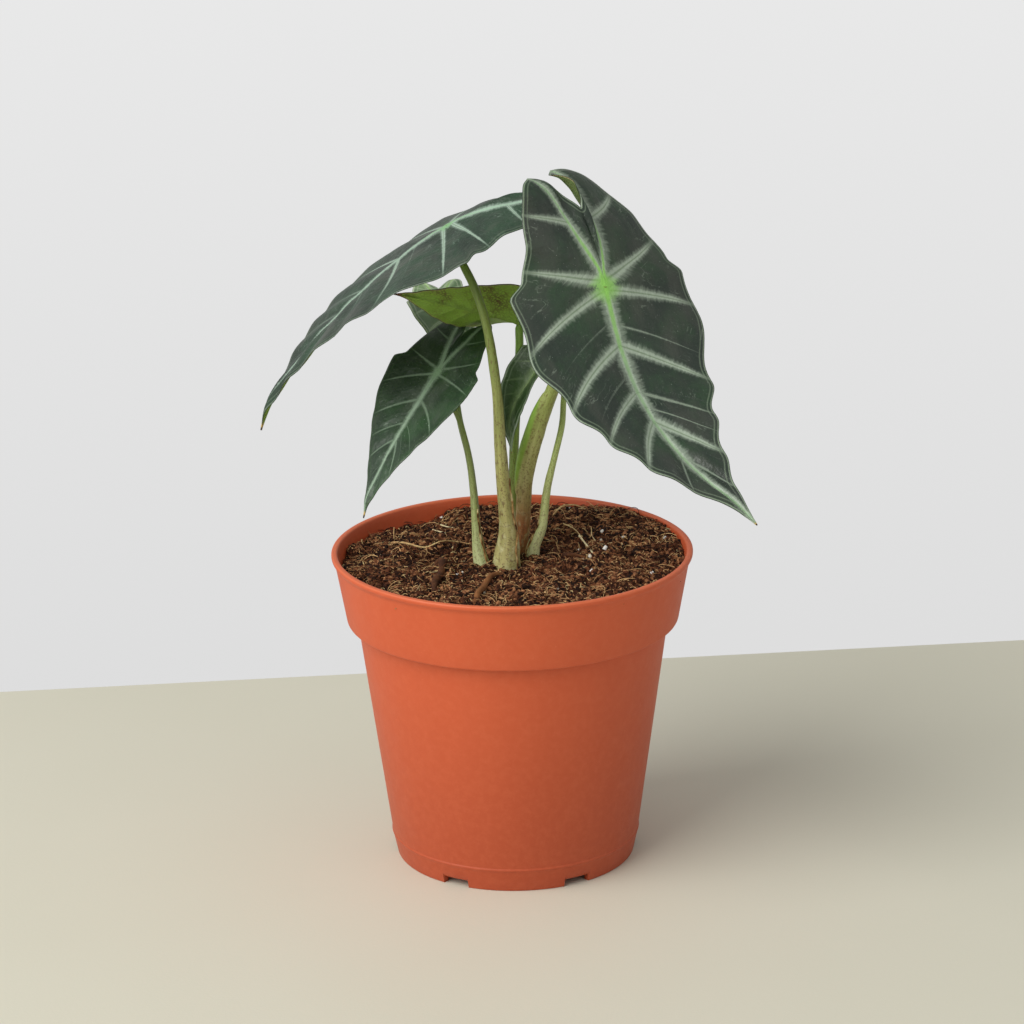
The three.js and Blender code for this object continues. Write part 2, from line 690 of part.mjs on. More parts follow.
// A blade as one closed solid, its two faces split alike. below and above thicken it.
function blade(leaf, below = 0, above = 0) {
  const net = leafNet(leaf);
  const midribAt = midrib(leaf);
  const upper = [];
  const lower = [];
  for (const { x, y, station, share } of net.points) {
    const out = faceDirection(leaf, midribAt, x, y);
    const { lift, rise, drop } = relief(leaf, x, y, station, share);
    const middle = bentPoint(leaf, midribAt, x, y).addScaledVector(out, lift);
    const half = BLADE.thickness / 2;
    upper.push(middle.clone().addScaledVector(out, half + rise + above).toArray());
    lower.push(middle.clone().addScaledVector(out, -half - drop - below).toArray());
  }
  const count = upper.length;
  const faces = net.faces.map(([a, b, c]) => [a, b, c]);
  net.faces.forEach(([a, b, c]) => faces.push([a + count, c + count, b + count]));
  openEdges(net.faces).forEach(([a, b]) => {
    faces.push([b, a, a + count], [b, a + count, b + count]);
  });
  return solid(closedGeometry([...upper, ...lower], faces));
}

// ---------------------------------------------------------------- petiole

// The bar of a petiole, thick at its sheathed foot. swell widens it all round.
function petiole(name, swell = 0) {
  const { path, radius, neck } = PETIOLES[name];
  const curve = new THREE.CatmullRomCurve3(path.map((point) => new THREE.Vector3(...point)));
  const [start, next] = curve.points;
  start.addScaledVector(start.clone().sub(next).normalize(), HOLE_DEPTH * swell);
  const steps = Math.round(curve.getLength() / PETIOLE_STEP);
  const [foot, low, middle, top] = radius;
  const radiusAt = (share) => {
    if (share < neck) return lerp(foot, low, Math.sin((Math.PI / 2) * (share / neck)) ** 2) + swell;
    if (share < PETIOLE_MIDDLE) {
      return lerp(low, middle, (share - neck) / (PETIOLE_MIDDLE - neck)) + swell;
    }
    return lerp(middle, top, (share - PETIOLE_MIDDLE) / (1 - PETIOLE_MIDDLE)) + swell;
  };
  const wingDirection = new THREE.Vector3(...WING.direction).normalize();
  const wing = (share, out) => {
    if (name !== WING.petiole) return 0;
    const along = (share - WING.from) / (WING.to - WING.from);
    if (along <= 0 || along >= 1) return 0;
    const towards = Math.max(0, out.dot(wingDirection)) ** WING.narrowness;
    return WING.reach * towards * Math.sin(Math.PI * along) ** WING.bluntness;
  };
  return bar(curve, steps, PETIOLE_SIDES, radiusAt, wing);
}

// ---------------------------------------------------------------- the whole plant

const group = new THREE.Group();
group.add(named('pot', pot(), COLOURS.pot));

const root = rhizome(0);
const rootRoom = rhizome(GAP);
let mix = soil().subtract(rhizome(HOLE_ROOM));

for (const [name, leaf] of Object.entries(LEAVES)) {
  const stalk = petiole(name).subtract(rootRoom).subtract(blade(leaf, TOP_ROOM, GAP));
  group.add(named(`petiole_${name}`, largestPiece(stalk), COLOURS.petiole));
  group.add(named(`blade_${name}`, blade(leaf), COLOURS.blade));
  mix = mix.subtract(petiole(name, HOLE_ROOM));
}

group.add(named('rhizome', root, COLOURS.rhizome));
group.add(named('soil', largestPiece(mix), COLOURS.soil));

export default group;
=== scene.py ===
import logging
import math
from dataclasses import dataclass, field
from enum import Enum

import bpy
import numpy as np
from mathutils import Matrix, Vector


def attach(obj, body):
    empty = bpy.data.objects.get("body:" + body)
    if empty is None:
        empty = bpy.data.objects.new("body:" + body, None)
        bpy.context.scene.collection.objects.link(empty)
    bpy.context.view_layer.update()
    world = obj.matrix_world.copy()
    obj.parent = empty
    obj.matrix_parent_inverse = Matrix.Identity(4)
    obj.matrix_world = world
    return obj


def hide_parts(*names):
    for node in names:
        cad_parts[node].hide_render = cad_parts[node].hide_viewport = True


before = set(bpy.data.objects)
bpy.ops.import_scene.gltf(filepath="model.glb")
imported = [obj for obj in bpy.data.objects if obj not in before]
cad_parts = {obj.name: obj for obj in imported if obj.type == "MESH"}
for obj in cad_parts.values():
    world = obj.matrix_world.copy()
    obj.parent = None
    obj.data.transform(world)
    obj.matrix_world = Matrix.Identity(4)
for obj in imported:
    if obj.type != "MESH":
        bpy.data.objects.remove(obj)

Array = np.ndarray
MM = 0.001
IMAGE_PIXELS = 1024
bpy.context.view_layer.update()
log = logging.getLogger("potted_alocasia")


def linear(red: float, green: float, blue: float) -> tuple:
    """Turns a displayed colour, as finishes hold it, into the linear one that shaders use.

    Args:
        red: The red part, 0 to 255.
        green: The green part, 0 to 255.
        blue: The blue part, 0 to 255.

    Returns:
        Four numbers, the last of them an alpha of 1.
    """
    parts = [value / 255 for value in (red, green, blue)]
    return tuple(part / 12.92 if part <= 0.04045 else ((part + 0.055) / 1.055) ** 2.4
                 for part in parts) + (1.0,)


def smoothstep(value: Array, low: float, high: float) -> Array:
    """Rises smoothly from 0 at low to 1 at high."""
    share = np.clip((value - low) / (high - low), 0, 1)
    return share * share * (3 - 2 * share)


def circle(count: int) -> Array:
    """Angles evenly spaced round a full turn."""
    return 2 * np.pi * np.arange(count) / count


def arc(start: object, bend: object, end: object, share: object) -> Array:
    """Places at some shares of the curve from start to end that bends towards a third place."""
    return (1 - share) ** 2 * start + 2 * share * (1 - share) * bend + share ** 2 * end


def run_between(here: object, after: object, leave: object, arrive: object,
                share: object) -> Array:
    """Places on the smooth curve between two places that it leaves and reaches at set speeds."""
    return (here + leave * share + (3 * (after - here) - 2 * leave - arrive) * share ** 2
            + (2 * (here - after) + leave + arrive) * share ** 3)


def distances(points: Array) -> Array:
    """How far along a line of joined places each of them lies."""
    return np.concatenate([[0], np.cumsum(np.linalg.norm(np.diff(points, axis=0), axis=1))])


# -------------------- shader writing


class Wire:
    """An output socket of a material's nodes that sums can be written on."""

    def __init__(self, book: "Book", socket: bpy.types.NodeSocket) -> None:
        """Keeps the socket and the book of nodes it belongs to."""
        self.book = book
        self.socket = socket

    def maths(self, operation: str, *others: object) -> "Wire":
        """Adds one Math node.

        Args:
            operation: The node's operation.
            others: The sockets or numbers after the first one.

        Returns:
            The node's result.
        """
        node = self.book.node("ShaderNodeMath", {"operation": operation},
                              dict(enumerate((self, *others))))
        return Wire(self.book, node.outputs[0])

    def __add__(self, other: object) -> "Wire":
        """Adds."""
        return self.maths("ADD", other)

    __radd__ = __add__

    def __sub__(self, other: object) -> "Wire":
        """Subtracts the other value."""
        return self.maths("SUBTRACT", other)

    def __rsub__(self, other: object) -> "Wire":
        """Subtracts this value from the other."""
        return self.maths("MULTIPLY", -1.0).maths("ADD", other)

    def __mul__(self, other: object) -> "Wire":
        """Multiplies."""
        return self.maths("MULTIPLY", other)

    __rmul__ = __mul__

    def __truediv__(self, other: object) -> "Wire":
        """Divides by the other value."""
        return self.maths("DIVIDE", other)

    def least(self, other: object) -> "Wire":
        """The smaller of two values."""
        return self.maths("MINIMUM", other)

    def most(self, other: object) -> "Wire":
        """The larger of two values."""
        return self.maths("MAXIMUM", other)

    def between(self, low: float, high: float, start: float = 0.0, end: float = 1.0) -> "Wire":
        """Passes smoothly from start to end while the value goes from low to high.

        Args:
            low: The value where the passage begins.
            high: The value where it ends.
            start: The result below low.
            end: The result above high.

        Returns:
            The result, never outside start and end.
        """
        turned = low > high
        values = {"Value": self, "From Min": min(low, high), "From Max": max(low, high),
                  "To Min": end if turned else start, "To Max": start if turned else end}
        node = self.book.node("ShaderNodeMapRange", {"interpolation_type": "SMOOTHSTEP"}, values)
        return Wire(self.book, node.outputs[0])


class Book:
    """One material and the nodes that are written into it."""

    def __init__(self, name: str) -> None:
        """Starts an empty material with a Principled shader."""
        self.material = bpy.data.materials.new(name)
        self.material.use_nodes = True
        self.tree = self.material.node_tree
        self.tree.nodes.clear()
        output = self.tree.nodes.new("ShaderNodeOutputMaterial")
        self.shader = self.tree.nodes.new("ShaderNodeBsdfPrincipled")
        self.tree.links.new(self.shader.outputs[0], output.inputs["Surface"])

    def node(self, kind: str, settings: dict | None = None,
             values: dict | None = None) -> bpy.types.Node:
        """Adds one node.

        Args:
            kind: The node's type.
            settings: Its own settings, which are set first.
            values: Numbers, colours or wires for its input sockets, by name or by number.

        Returns:
            The new node.
        """
        node = self.tree.nodes.new(kind)
        for key, value in (settings or {}).items():
            if key == "stops":
                self.set_stops(node, value)
            else:
                setattr(node, key, value)
        for key, value in (values or {}).items():
            self.feed(node.inputs[key], value)
        return node

    def feed(self, socket: bpy.types.NodeSocket, value: object) -> None:
        """Links a wire to a socket, or sets the socket's own value.

        Args:
            socket: The socket.
            value: A wire, a number, a vector or a displayed colour.
        """
        if isinstance(value, Wire):
            self.tree.links.new(value.socket, socket)
        else:
            socket.default_value = linear(*value) if socket.type == "RGBA" else value

    @staticmethod
    def set_stops(node: bpy.types.Node, stops: list) -> None:
        """Gives a colour ramp its stops, each a place and a colour.

        Args:
            node: The ramp's node.
            stops: The stops.
        """
        ramp = node.color_ramp
        while len(ramp.elements) < len(stops):
            ramp.elements.new(0.5)
        for element, (place, colour) in zip(ramp.elements, stops):
            element.position = place
            element.color = linear(*colour)

    def value(self, name: str) -> Wire:
        """Reads a number that is stored on the mesh."""
        node = self.node("ShaderNodeAttribute", {"attribute_name": name})
        return Wire(self, node.outputs["Fac"])

    def place(self, name: str | None = None, stretch: tuple = (1.0, 1.0, 1.0)) -> Wire:
        """Gives coordinates for a pattern, in metres.

        Args:
            name: A vector stored on the mesh, or None for the object's own coordinates.
            stretch: What each direction is multiplied by.

        Returns:
            The coordinates.
        """
        if name is None:
            start = Wire(self, self.node("ShaderNodeTexCoord").outputs["Object"])
        else:
            node = self.node("ShaderNodeAttribute", {"attribute_name": name})
            start = Wire(self, node.outputs["Vector"])
        node = self.node("ShaderNodeVectorMath", {"operation": "MULTIPLY"},
                         {0: start, 1: stretch})
        return Wire(self, node.outputs[0])

    def noise(self, place: Wire, scale: float, detail: float = 3.0,
              roughness: float = 0.55) -> Wire:
        """Soft random values round 0.5, scale of them in a metre."""
        node = self.node("ShaderNodeTexNoise", None, {
            "Vector": place, "Scale": scale, "Detail": detail, "Roughness": roughness})
        return Wire(self, node.outputs[0])

    def cells(self, place: Wire, scale: float) -> Wire:
        """The distance to the edge of the nearest cell, scale of them in a metre."""
        node = self.node("ShaderNodeTexVoronoi", {"feature": "DISTANCE_TO_EDGE"},
                         {"Vector": place, "Scale": scale})
        return Wire(self, node.outputs["Distance"])

    def ramp(self, value: Wire, stops: list) -> Wire:
        """A colour that follows a value through a list of stops."""
        node = self.node("ShaderNodeValToRGB", {"stops": stops}, {0: value})
        return Wire(self, node.outputs[0])

    def mix(self, share: object, first: object, second: object, blend: str = "MIX") -> Wire:
        """Passes from the first colour to the second.

        Args:
            share: How far, from 0 to 1.
            first: The first colour.
            second: The second colour.
            blend: How the second is laid on the first.

        Returns:
            The colour.
        """
        node = self.tree.nodes.new("ShaderNodeMix")
        node.data_type = "RGBA"
        node.blend_type = blend
        for number, value in ((0, share), (6, first), (7, second)):
            self.feed(node.inputs[number], value)
        return Wire(self, node.outputs[2])

    def bump(self, height: Wire, distance: float, below: Wire | None = None) -> Wire:
        """A surface normal for a height of distance metres, on top of another one.

        Args:
            height: How high each place stands, from 0 to 1.
            distance: What 1 of it is in metres.
            below: The normal that it is laid on, if any.

        Returns:
            The normal.
        """
        values = {"Height": height, "Distance": distance, "Strength": 1.0}
        if below is not None:
            values["Normal"] = below
        node = self.node("ShaderNodeBump", None, values)
        return Wire(self, node.outputs[0])

    def finish(self, colour: object, roughness: object, normal: Wire | None = None,
               constants: dict | None = None) -> bpy.types.Material:
        """Feeds the shader and returns the material.

        Args:
            colour: The base colour.
            roughness: The roughness.
            normal: The surface normal, if the surface has a bump.
            constants: Numbers for the shader's other sockets, the same all over.

        Returns:
            The finished material.
        """
        self.feed(self.shader.inputs["Base Color"], colour)
        self.feed(self.shader.inputs["Roughness"], roughness)
        if normal is not None:
            self.feed(self.shader.inputs["Normal"], normal)
        for name, value in (constants or {}).items():
            self.shader.inputs[name].default_value = value
        return self.material


# -------------------- mesh making


class Slot(Enum):
    """The material slots that are handed to dress with each piece."""

    POT = "pot_plastic"
    BLADE = "blade"
    PETIOLE = "petiole"
    MIX = "potting_mix"


@dataclass
class Shell:
    """A mesh in the making, in millimetres."""

    points: Array
    faces: list
    values: dict = field(default_factory=dict)
    face_slots: Array | None = None

    def build(self, name: str, materials: list) -> bpy.types.Object:
        """Makes the object.

        Args:
            name: The object's name.
            materials: Its materials, in the order that face_slots counts them.

        Returns:
            The object, at the origin, with its place in its mesh.
        """
        mesh = bpy.data.meshes.new(name)
        mesh.from_pydata((self.points * MM).tolist(), [], self.faces)
        for material in materials:
            mesh.materials.append(material)
        mesh.polygons.foreach_set("use_smooth", np.ones(len(mesh.polygons), dtype=bool))
        if self.face_slots is not None:
            mesh.polygons.foreach_set("material_index", self.face_slots.astype(np.int32))
        for key, values in self.values.items():
            kind = "FLOAT" if values.ndim == 1 else "FLOAT_VECTOR"
            layer = mesh.attributes.new(key, kind, "POINT")
            layer.data.foreach_set("value" if values.ndim == 1 else "vector",
                                   values.astype(np.float32).ravel())
        mesh.update()
        thing = bpy.data.objects.new(name, mesh)
        bpy.context.scene.collection.objects.link(thing)
        return thing


def dress(piece: bpy.types.Object, slot: Slot, *nodes: str) -> None:
    """Rides a piece on the part's one body and hides the CAD nodes that it stands for.

    Args:
        piece: The piece.
        slot: Its material slot; not used.
        nodes: The CAD nodes that it replaces, if any.
    """
    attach(piece, "root")
    if nodes:
        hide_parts(*nodes)
    log.info("%s: %d faces", piece.name, len(piece.data.polygons))


def grid_faces(rows: int, columns: int, start: int = 0, wrap: bool = False) -> Array:
    """Squares over a grid of points that is stored row by row.

    Args:
        rows: How many rows the grid has.
        columns: How many points a row has.
        start: The number of the grid's first point.
        wrap: Whether each row closes on itself.

    Returns:
        An array of four point numbers a face.
    """
    across = np.arange(columns if wrap else columns - 1)
    row, column = np.meshgrid(np.arange(rows - 1), across, indexing="ij")
    here = start + row * columns + column
    beside = start + row * columns + (column + 1) % columns
    return np.stack([here, beside, beside + columns, here + columns], -1).reshape(-1, 4)


def capped_faces(rows: int, columns: int) -> list:
    """Squares over a grid that closes on itself, with a fan over each open end.

    Args:
        rows: How many rows the grid has.
        columns: How many points a row has.

    Returns:
        The faces. After the grid's points come the middle of the first fan and of the last.
    """
    faces = grid_faces(rows, columns, wrap=True).tolist()
    first, last = rows * columns, (rows - 1) * columns
    for here in range(columns):
        after = (here + 1) % columns
        faces += [[first, after, here], [first + 1, last + here, last + after]]
    return faces


def open_edges(faces: list) -> list:
    """Finds the edges that only one face has.

    Args:
        faces: The faces, each a list of point numbers.

    Returns:
        Pairs of point numbers, in the order that the face goes round.
    """
    edges = {}
    for corners in faces:
        for i, corner in enumerate(corners):
            before = corners[i - 1]
            if (corner, before) in edges:
                del edges[(corner, before)]
            else:
                edges[(before, corner)] = True
    return list(edges)


class Grain:
    """Smooth random numbers over space, the same at every run."""

    def __init__(self, seed: int) -> None:
        """Keeps the seed."""
        self.seed = seed

    def corner(self, cell: Array) -> Array:
        """A random number from -1 to 1 for each whole-numbered corner.

        Args:
            cell: The corners, three whole numbers each.

        Returns:
            The numbers.
        """
        mask = 0xFFFFFFFF
        whole = cell.astype(np.int64)
        mixed = (whole[:, 0] * 374761393 + whole[:, 1] * 668265263
                 + whole[:, 2] * 2147483647 + self.seed * 1274126177) & mask
        mixed = ((mixed ^ (mixed >> 13)) * 1274126177) & mask
        mixed = ((mixed ^ (mixed >> 16)) * 2246822519) & mask
        return (mixed ^ (mixed >> 15)) / mask * 2 - 1

    def at(self, points: Array, size: float) -> Array:
        """Random numbers that change over about size millimetres.

        Args:
            points: The places, in millimetres.
            size: How far apart the random corners lie.

        Returns:
            A number from -1 to 1 for each place.
        """
        scaled = points / size + 1000.0
        low = np.floor(scaled)
        share = scaled - low
        share = share * share * (3 - 2 * share)
        total = np.zeros(len(points))
        for corner in np.ndindex(2, 2, 2):
            weight = np.prod(np.where(corner, share, 1 - share), axis=1)
            total += weight * self.corner(low + corner)
        return total

    def layers(self, points: Array, size: float, count: int = 4,
               gain: float = 0.5) -> Array:
        """A sum of ever finer random numbers."""
        return sum(gain ** layer * self.at(points + 17.3 * layer, size / 2 ** layer)
                   for layer in range(count))


def nearest_on_lines(points: Array, line: Array) -> tuple:
    """Finds how far points lie from a line of joined stretches in the plane.

    Args:
        points: Places, two numbers each.
        line: The line's corners, two numbers each.

    Returns:
        The distances, and how far along the line the nearest places are.
    """
    start, run = line[:-1], np.diff(line, axis=0)
    length = np.maximum(np.linalg.norm(run, axis=1), 1e-9)
    offset = points[:, None] - start[None]
    share = np.clip((offset * run).sum(-1) / length ** 2, 0, 1)
    gap = np.linalg.norm(offset - share[..., None] * run, axis=-1)
    best = gap.argmin(1)
    travelled = np.concatenate([[0], np.cumsum(length)[:-1]])
    rows = np.arange(len(points))
    return gap[rows, best], travelled[best] + share[rows, best] * length[best]


# -------------------- curves


def centripetal(points: Array, share: Array) -> Array:
    """Places on the smooth curve through some points, spaced by its length.

    Args:
        points: What the curve passes through.
        share: Fractions of the curve's length.

    Returns:
        The places.
    """
    ends = np.vstack([2 * points[0] - points[1], points, 2 * points[-1] - points[-2]])
    fine = []
    local = np.linspace(0, 1, 60, endpoint=False)[:, None]
    for index in range(1, len(ends) - 2):
        before, here, after, beyond = ends[index - 1:index + 3]
        gaps = [np.sqrt(np.linalg.norm(pair[1] - pair[0])) for pair in
                ((before, here), (here, after), (after, beyond))]
        leave = ((here - before) / gaps[0] - (after - before) / (gaps[0] + gaps[1])
                 + (after - here) / gaps[1]) * gaps[1]
        arrive = ((after - here) / gaps[1] - (beyond - here) / (gaps[1] + gaps[2])
                  + (beyond - after) / gaps[2]) * gaps[1]
        fine.append(run_between(here, after, leave, arrive, local))
    fine = np.vstack([*fine, points[-1:]])
    lengths = distances(fine)
    wanted = share * lengths[-1]
    return np.stack([np.interp(wanted, lengths, fine[:, axis]) for axis in range(3)], -1)


def curve_length(points: Array) -> float:
    """The length of a line of joined places."""
    return float(np.linalg.norm(np.diff(points, axis=0), axis=1).sum())


def carried_frames(middle: Array) -> tuple:
    """Two directions across a curve at each of its places, carried along without twist.

    Args:
        middle: The curve's places.

    Returns:
        Two arrays of directions, at right angles to each other and to the curve. The first
        of them starts near the X axis.
    """
    along = np.gradient(middle, axis=0)
    along /= np.linalg.norm(along, axis=1)[:, None]
    side = np.array([1.0, 0.0, 0.0])
    sides = []
    for direction in along:
        side = side - direction * side.dot(direction)
        side = side / np.linalg.norm(side)
        sides.append(side)
    sides = np.array(sides)
    return sides, np.cross(along, sides)


def rays(middle: Array, sides: int) -> Array:
    """Directions out of a curve to all sides, a row of them for each of its places."""
    across, over = carried_frames(middle)
    turn = circle(sides)
    return (np.cos(turn)[None, :, None] * across[:, None]
            + np.sin(turn)[None, :, None] * over[:, None])


def tube(middle: Array, radius: Array, sides: int,
         flare: Array | None = None) -> Shell:
    """A round stalk along a curve, closed at both ends.

    Args:
        middle: The curve's places.
        radius: The radius at each place.
        sides: How many flats go round it.
        flare: What each point stands out further, a row of sides for each place.

    Returns:
        The stalk, with its turn and its length along stored on its points.
    """
    reach = np.repeat(radius[:, None], sides, axis=1) + (0 if flare is None else flare)
    points = (middle[:, None] + rays(middle, sides) * reach[..., None]).reshape(-1, 3)
    points = np.vstack([points, middle[:1], middle[-1:]])
    rows, turn, travelled = len(middle), circle(sides), distances(middle)
    round_place = np.stack([np.broadcast_to(np.cos(turn) * 2, (rows, sides)),
                            np.broadcast_to(np.sin(turn) * 2, (rows, sides)),
                            np.broadcast_to(travelled[:, None], (rows, sides))], -1)
    round_place = np.vstack([round_place.reshape(-1, 3), [[0, 0, 0]],
                             [[0, 0, travelled[-1]]]])
    share = np.append(np.repeat(travelled / travelled[-1], sides), [0, 1])
    return Shell(points, capped_faces(rows, sides), {"round": round_place * MM, "share": share})


# -------------------- camera, light and floor


@dataclass
class Studio:
    """The camera, the lights and the pale table and backdrop."""

    target: tuple = (0.00012, 0.0, 0.10885)
    distance: float = 1.15
    elevation: float = 17.78
    roll: float = -0.745
    focal_pixels: float = 3791.0
    sensor: float = 36.0
    table_edge_pixels: tuple = ((-900, 737.7), (1924, 594.3))
    table_reach: float = 1.6
    ambient: float = 0.42
    backdrop_heights: tuple = (-0.36, -0.16)
    backdrop_tones: tuple = (0.72, 0.815)

    def directions(self) -> tuple:
        """The camera's right, up and backward directions."""
        tilt, turn = math.radians(self.elevation), math.radians(self.roll)
        back = Vector((0, -math.cos(tilt), math.sin(tilt)))
        right = Vector((1, 0, 0))
        up = back.cross(right)
        across = math.cos(turn) * right + math.sin(turn) * up
        return across, back.cross(across), back

    def eye(self) -> Vector:
        """Where the camera stands."""
        return Vector(self.target) + self.distance * self.directions()[2]

    def camera(self) -> None:
        """Makes the camera and hands it to the scene."""
        data = bpy.data.cameras.new("camera")
        data.sensor_width = self.sensor
        data.lens = self.focal_pixels * self.sensor / IMAGE_PIXELS
        thing = bpy.data.objects.new("camera", data)
        bpy.context.scene.collection.objects.link(thing)
        turn = Matrix([list(row) for row in self.directions()]).transposed()
        thing.matrix_world = Matrix.Translation(self.eye()) @ turn.to_4x4()
        bpy.context.scene.camera = thing

    def on_table(self, column: float, row: float) -> Vector:
        """The place on the table that a pixel of the picture shows.

        Args:
            column: The pixel's column.
            row: Its row.

        Returns:
            The place, in metres.
        """
        right, up, back = self.directions()
        centre = IMAGE_PIXELS / 2
        ray = (right * (column - centre) - up * (row - centre)) / self.focal_pixels - back
        eye = self.eye()
        return eye - ray * (eye.z / ray.z)

    def table(self) -> None:
        """Makes the table top, whose far edge is seen behind the pot."""
        left, right = (self.on_table(*pixel) for pixel in self.table_edge_pixels)
        reach = Vector((0, -self.table_reach, 0))
        corners = [left, right, right + reach, left + reach]
        depth = Vector((0, 0, -0.02))
        points = np.array([list(c) for c in corners] + [list(c + depth) for c in corners])
        faces = [[3, 2, 1, 0], [4, 5, 6, 7]]
        faces += [[i, (i + 1) % 4, 4 + (i + 1) % 4, 4 + i] for i in range(4)]
        book = Book("table_top")
        place = book.place()
        drift = book.noise(place, 9.0, 2.0)
        colour = book.mix(drift, (214, 212, 194), (219, 217, 200))
        fine = book.bump(book.noise(place, 900.0, 2.0), 0.00004)
        material = book.finish(colour, 0.62, fine)
        floor = Shell(points / MM, faces).build("table", [material])
        floor.data.polygons.foreach_set("use_smooth", np.zeros(6, dtype=bool))

    def softbox(self, name: str, place: tuple, size: tuple, power: float,
                colour: tuple = (1.0, 1.0, 1.0)) -> None:
        """Makes one soft square light that faces the plant.

        Args:
            name: The light's name.
            place: Where it hangs, in metres.
            size: Its width and height.
            power: Its power in watts.
            colour: Its colour.
        """
        data = bpy.data.lights.new(name, "AREA")
        data.shape = "RECTANGLE"
        data.size, data.size_y = size
        data.energy = power
        data.color = colour
        thing = bpy.data.objects.new(name, data)
        thing.location = place
        aim = Vector((0, 0, 0.11)) - Vector(place)
        thing.rotation_euler = aim.to_track_quat("-Z", "Y").to_euler()
        bpy.context.scene.collection.objects.link(thing)

    def lights(self) -> None:
        """Makes the key light from the upper left, a weak fill and the pale surroundings."""
        self.softbox("key", (-1.1, -0.85, 1.2), (1.6, 1.6), 31.5, (1.0, 0.985, 0.96))
        self.softbox("fill", (1.3, -0.9, 0.8), (1.2, 1.2), 1.4)
        self.surroundings()

    def surroundings(self) -> None:
        """Makes the pale backdrop, which lights the plant less than it shows."""
        world = bpy.data.worlds.new("surroundings")
        world.use_nodes = True
        nodes, links = world.node_tree.nodes, world.node_tree.links
        seen, output = nodes["Background"], nodes["World Output"]
        lights = nodes.new("ShaderNodeBackground")
        lights.inputs["Color"].default_value = (1.0, 0.99, 0.975, 1.0)
        lights.inputs["Strength"].default_value = self.ambient
        seen.inputs["Strength"].default_value = 1.0
        place = nodes.new("ShaderNodeTexCoord")
        split = nodes.new("ShaderNodeSeparateXYZ")
        ramp = nodes.new("ShaderNodeMapRange")
        for key, value in zip(("From Min", "From Max", "To Min", "To Max"),
                              self.backdrop_heights + self.backdrop_tones):
            ramp.inputs[key].default_value = value
        rays, mix = nodes.new("ShaderNodeLightPath"), nodes.new("ShaderNodeMixShader")
        for start, end in ((place.outputs["Generated"], split.inputs[0]),
                           (split.outputs["Z"], ramp.inputs["Value"]),
                           (ramp.outputs[0], seen.inputs["Color"]),
                           (rays.outputs["Is Camera Ray"], mix.inputs[0]),
                           (lights.outputs[0], mix.inputs[1]), (seen.outputs[0], mix.inputs[2]),
                           (mix.outputs[0], output.inputs["Surface"])):
            links.new(start, end)
        bpy.context.scene.world = world

    def build(self) -> None:
        """Sets everything up that isn't part of the plant."""
        bpy.context.scene.view_settings.view_transform = "Standard"
        self.camera()
        self.table()
        self.lights()


# -------------------- pot


@dataclass(frozen=True)
class PotPlastic:
    """The matt moulded plastic of the pot."""

    lit: tuple = (216, 97, 55)
    worn: tuple = (202, 86, 47)
    # Pale tone of the specks and mottling, and of the painted highlight along the lip.
    dust_and_lip_highlight: tuple = (226, 122, 82)
    # The painted shade that darkens the plastic towards the foot.
    painted_foot_shade: tuple = (158, 66, 36)
    roughness: float = 0.5
    # Height of the lip's top edge, where the painted highlight lies.
    lip_highlight_height: float = 0.0971

    def material(self) -> bpy.types.Material:
        """Makes the plastic, with flow marks, painted shade deepening it towards the foot and a
        painted highlight along the lip's top.
        """
        book = Book("terracotta_plastic")
        flow = book.noise(book.place(stretch=(1.0, 1.0, 0.25)), 38.0, 4.0, 0.6)
        colour = book.mix(flow, self.lit, self.worn)
        specks = book.noise(book.place(), 1500.0, 2.0).between(0.66, 0.78)
        colour = book.mix(specks * 0.35, colour, self.dust_and_lip_highlight)
        split = book.node("ShaderNodeSeparateXYZ", None, {0: book.place()})
        height = Wire(book, split.outputs["Z"])
        # Painted shade: the plastic turns darker towards the foot, where less light reaches it.
        colour = book.mix(height.between(0.1, -0.02) * 0.74, colour, self.painted_foot_shade)
        # Painted highlight: a pale band along the lip's top edge, where the light catches it.
        colour = book.mix(height.between(self.lip_highlight_height - 0.0006, self.lip_highlight_height) * 0.5, colour,
                          self.dust_and_lip_highlight)
        cloud = book.noise(book.place(), 420.0, 3.0, 0.7).between(0.35, 0.75) * 0.12
        colour = book.mix(cloud, colour, self.dust_and_lip_highlight)
        roughness = book.noise(book.place(), 160.0, 3.0) * 0.16 + (self.roughness - 0.08)
        grain = book.bump(book.noise(book.place(), 2600.0, 2.0), 0.00005)
        ripple = book.bump(flow, 0.00025, grain)
        return book.finish(colour, roughness, ripple, {"Specular IOR Level": 0.42})


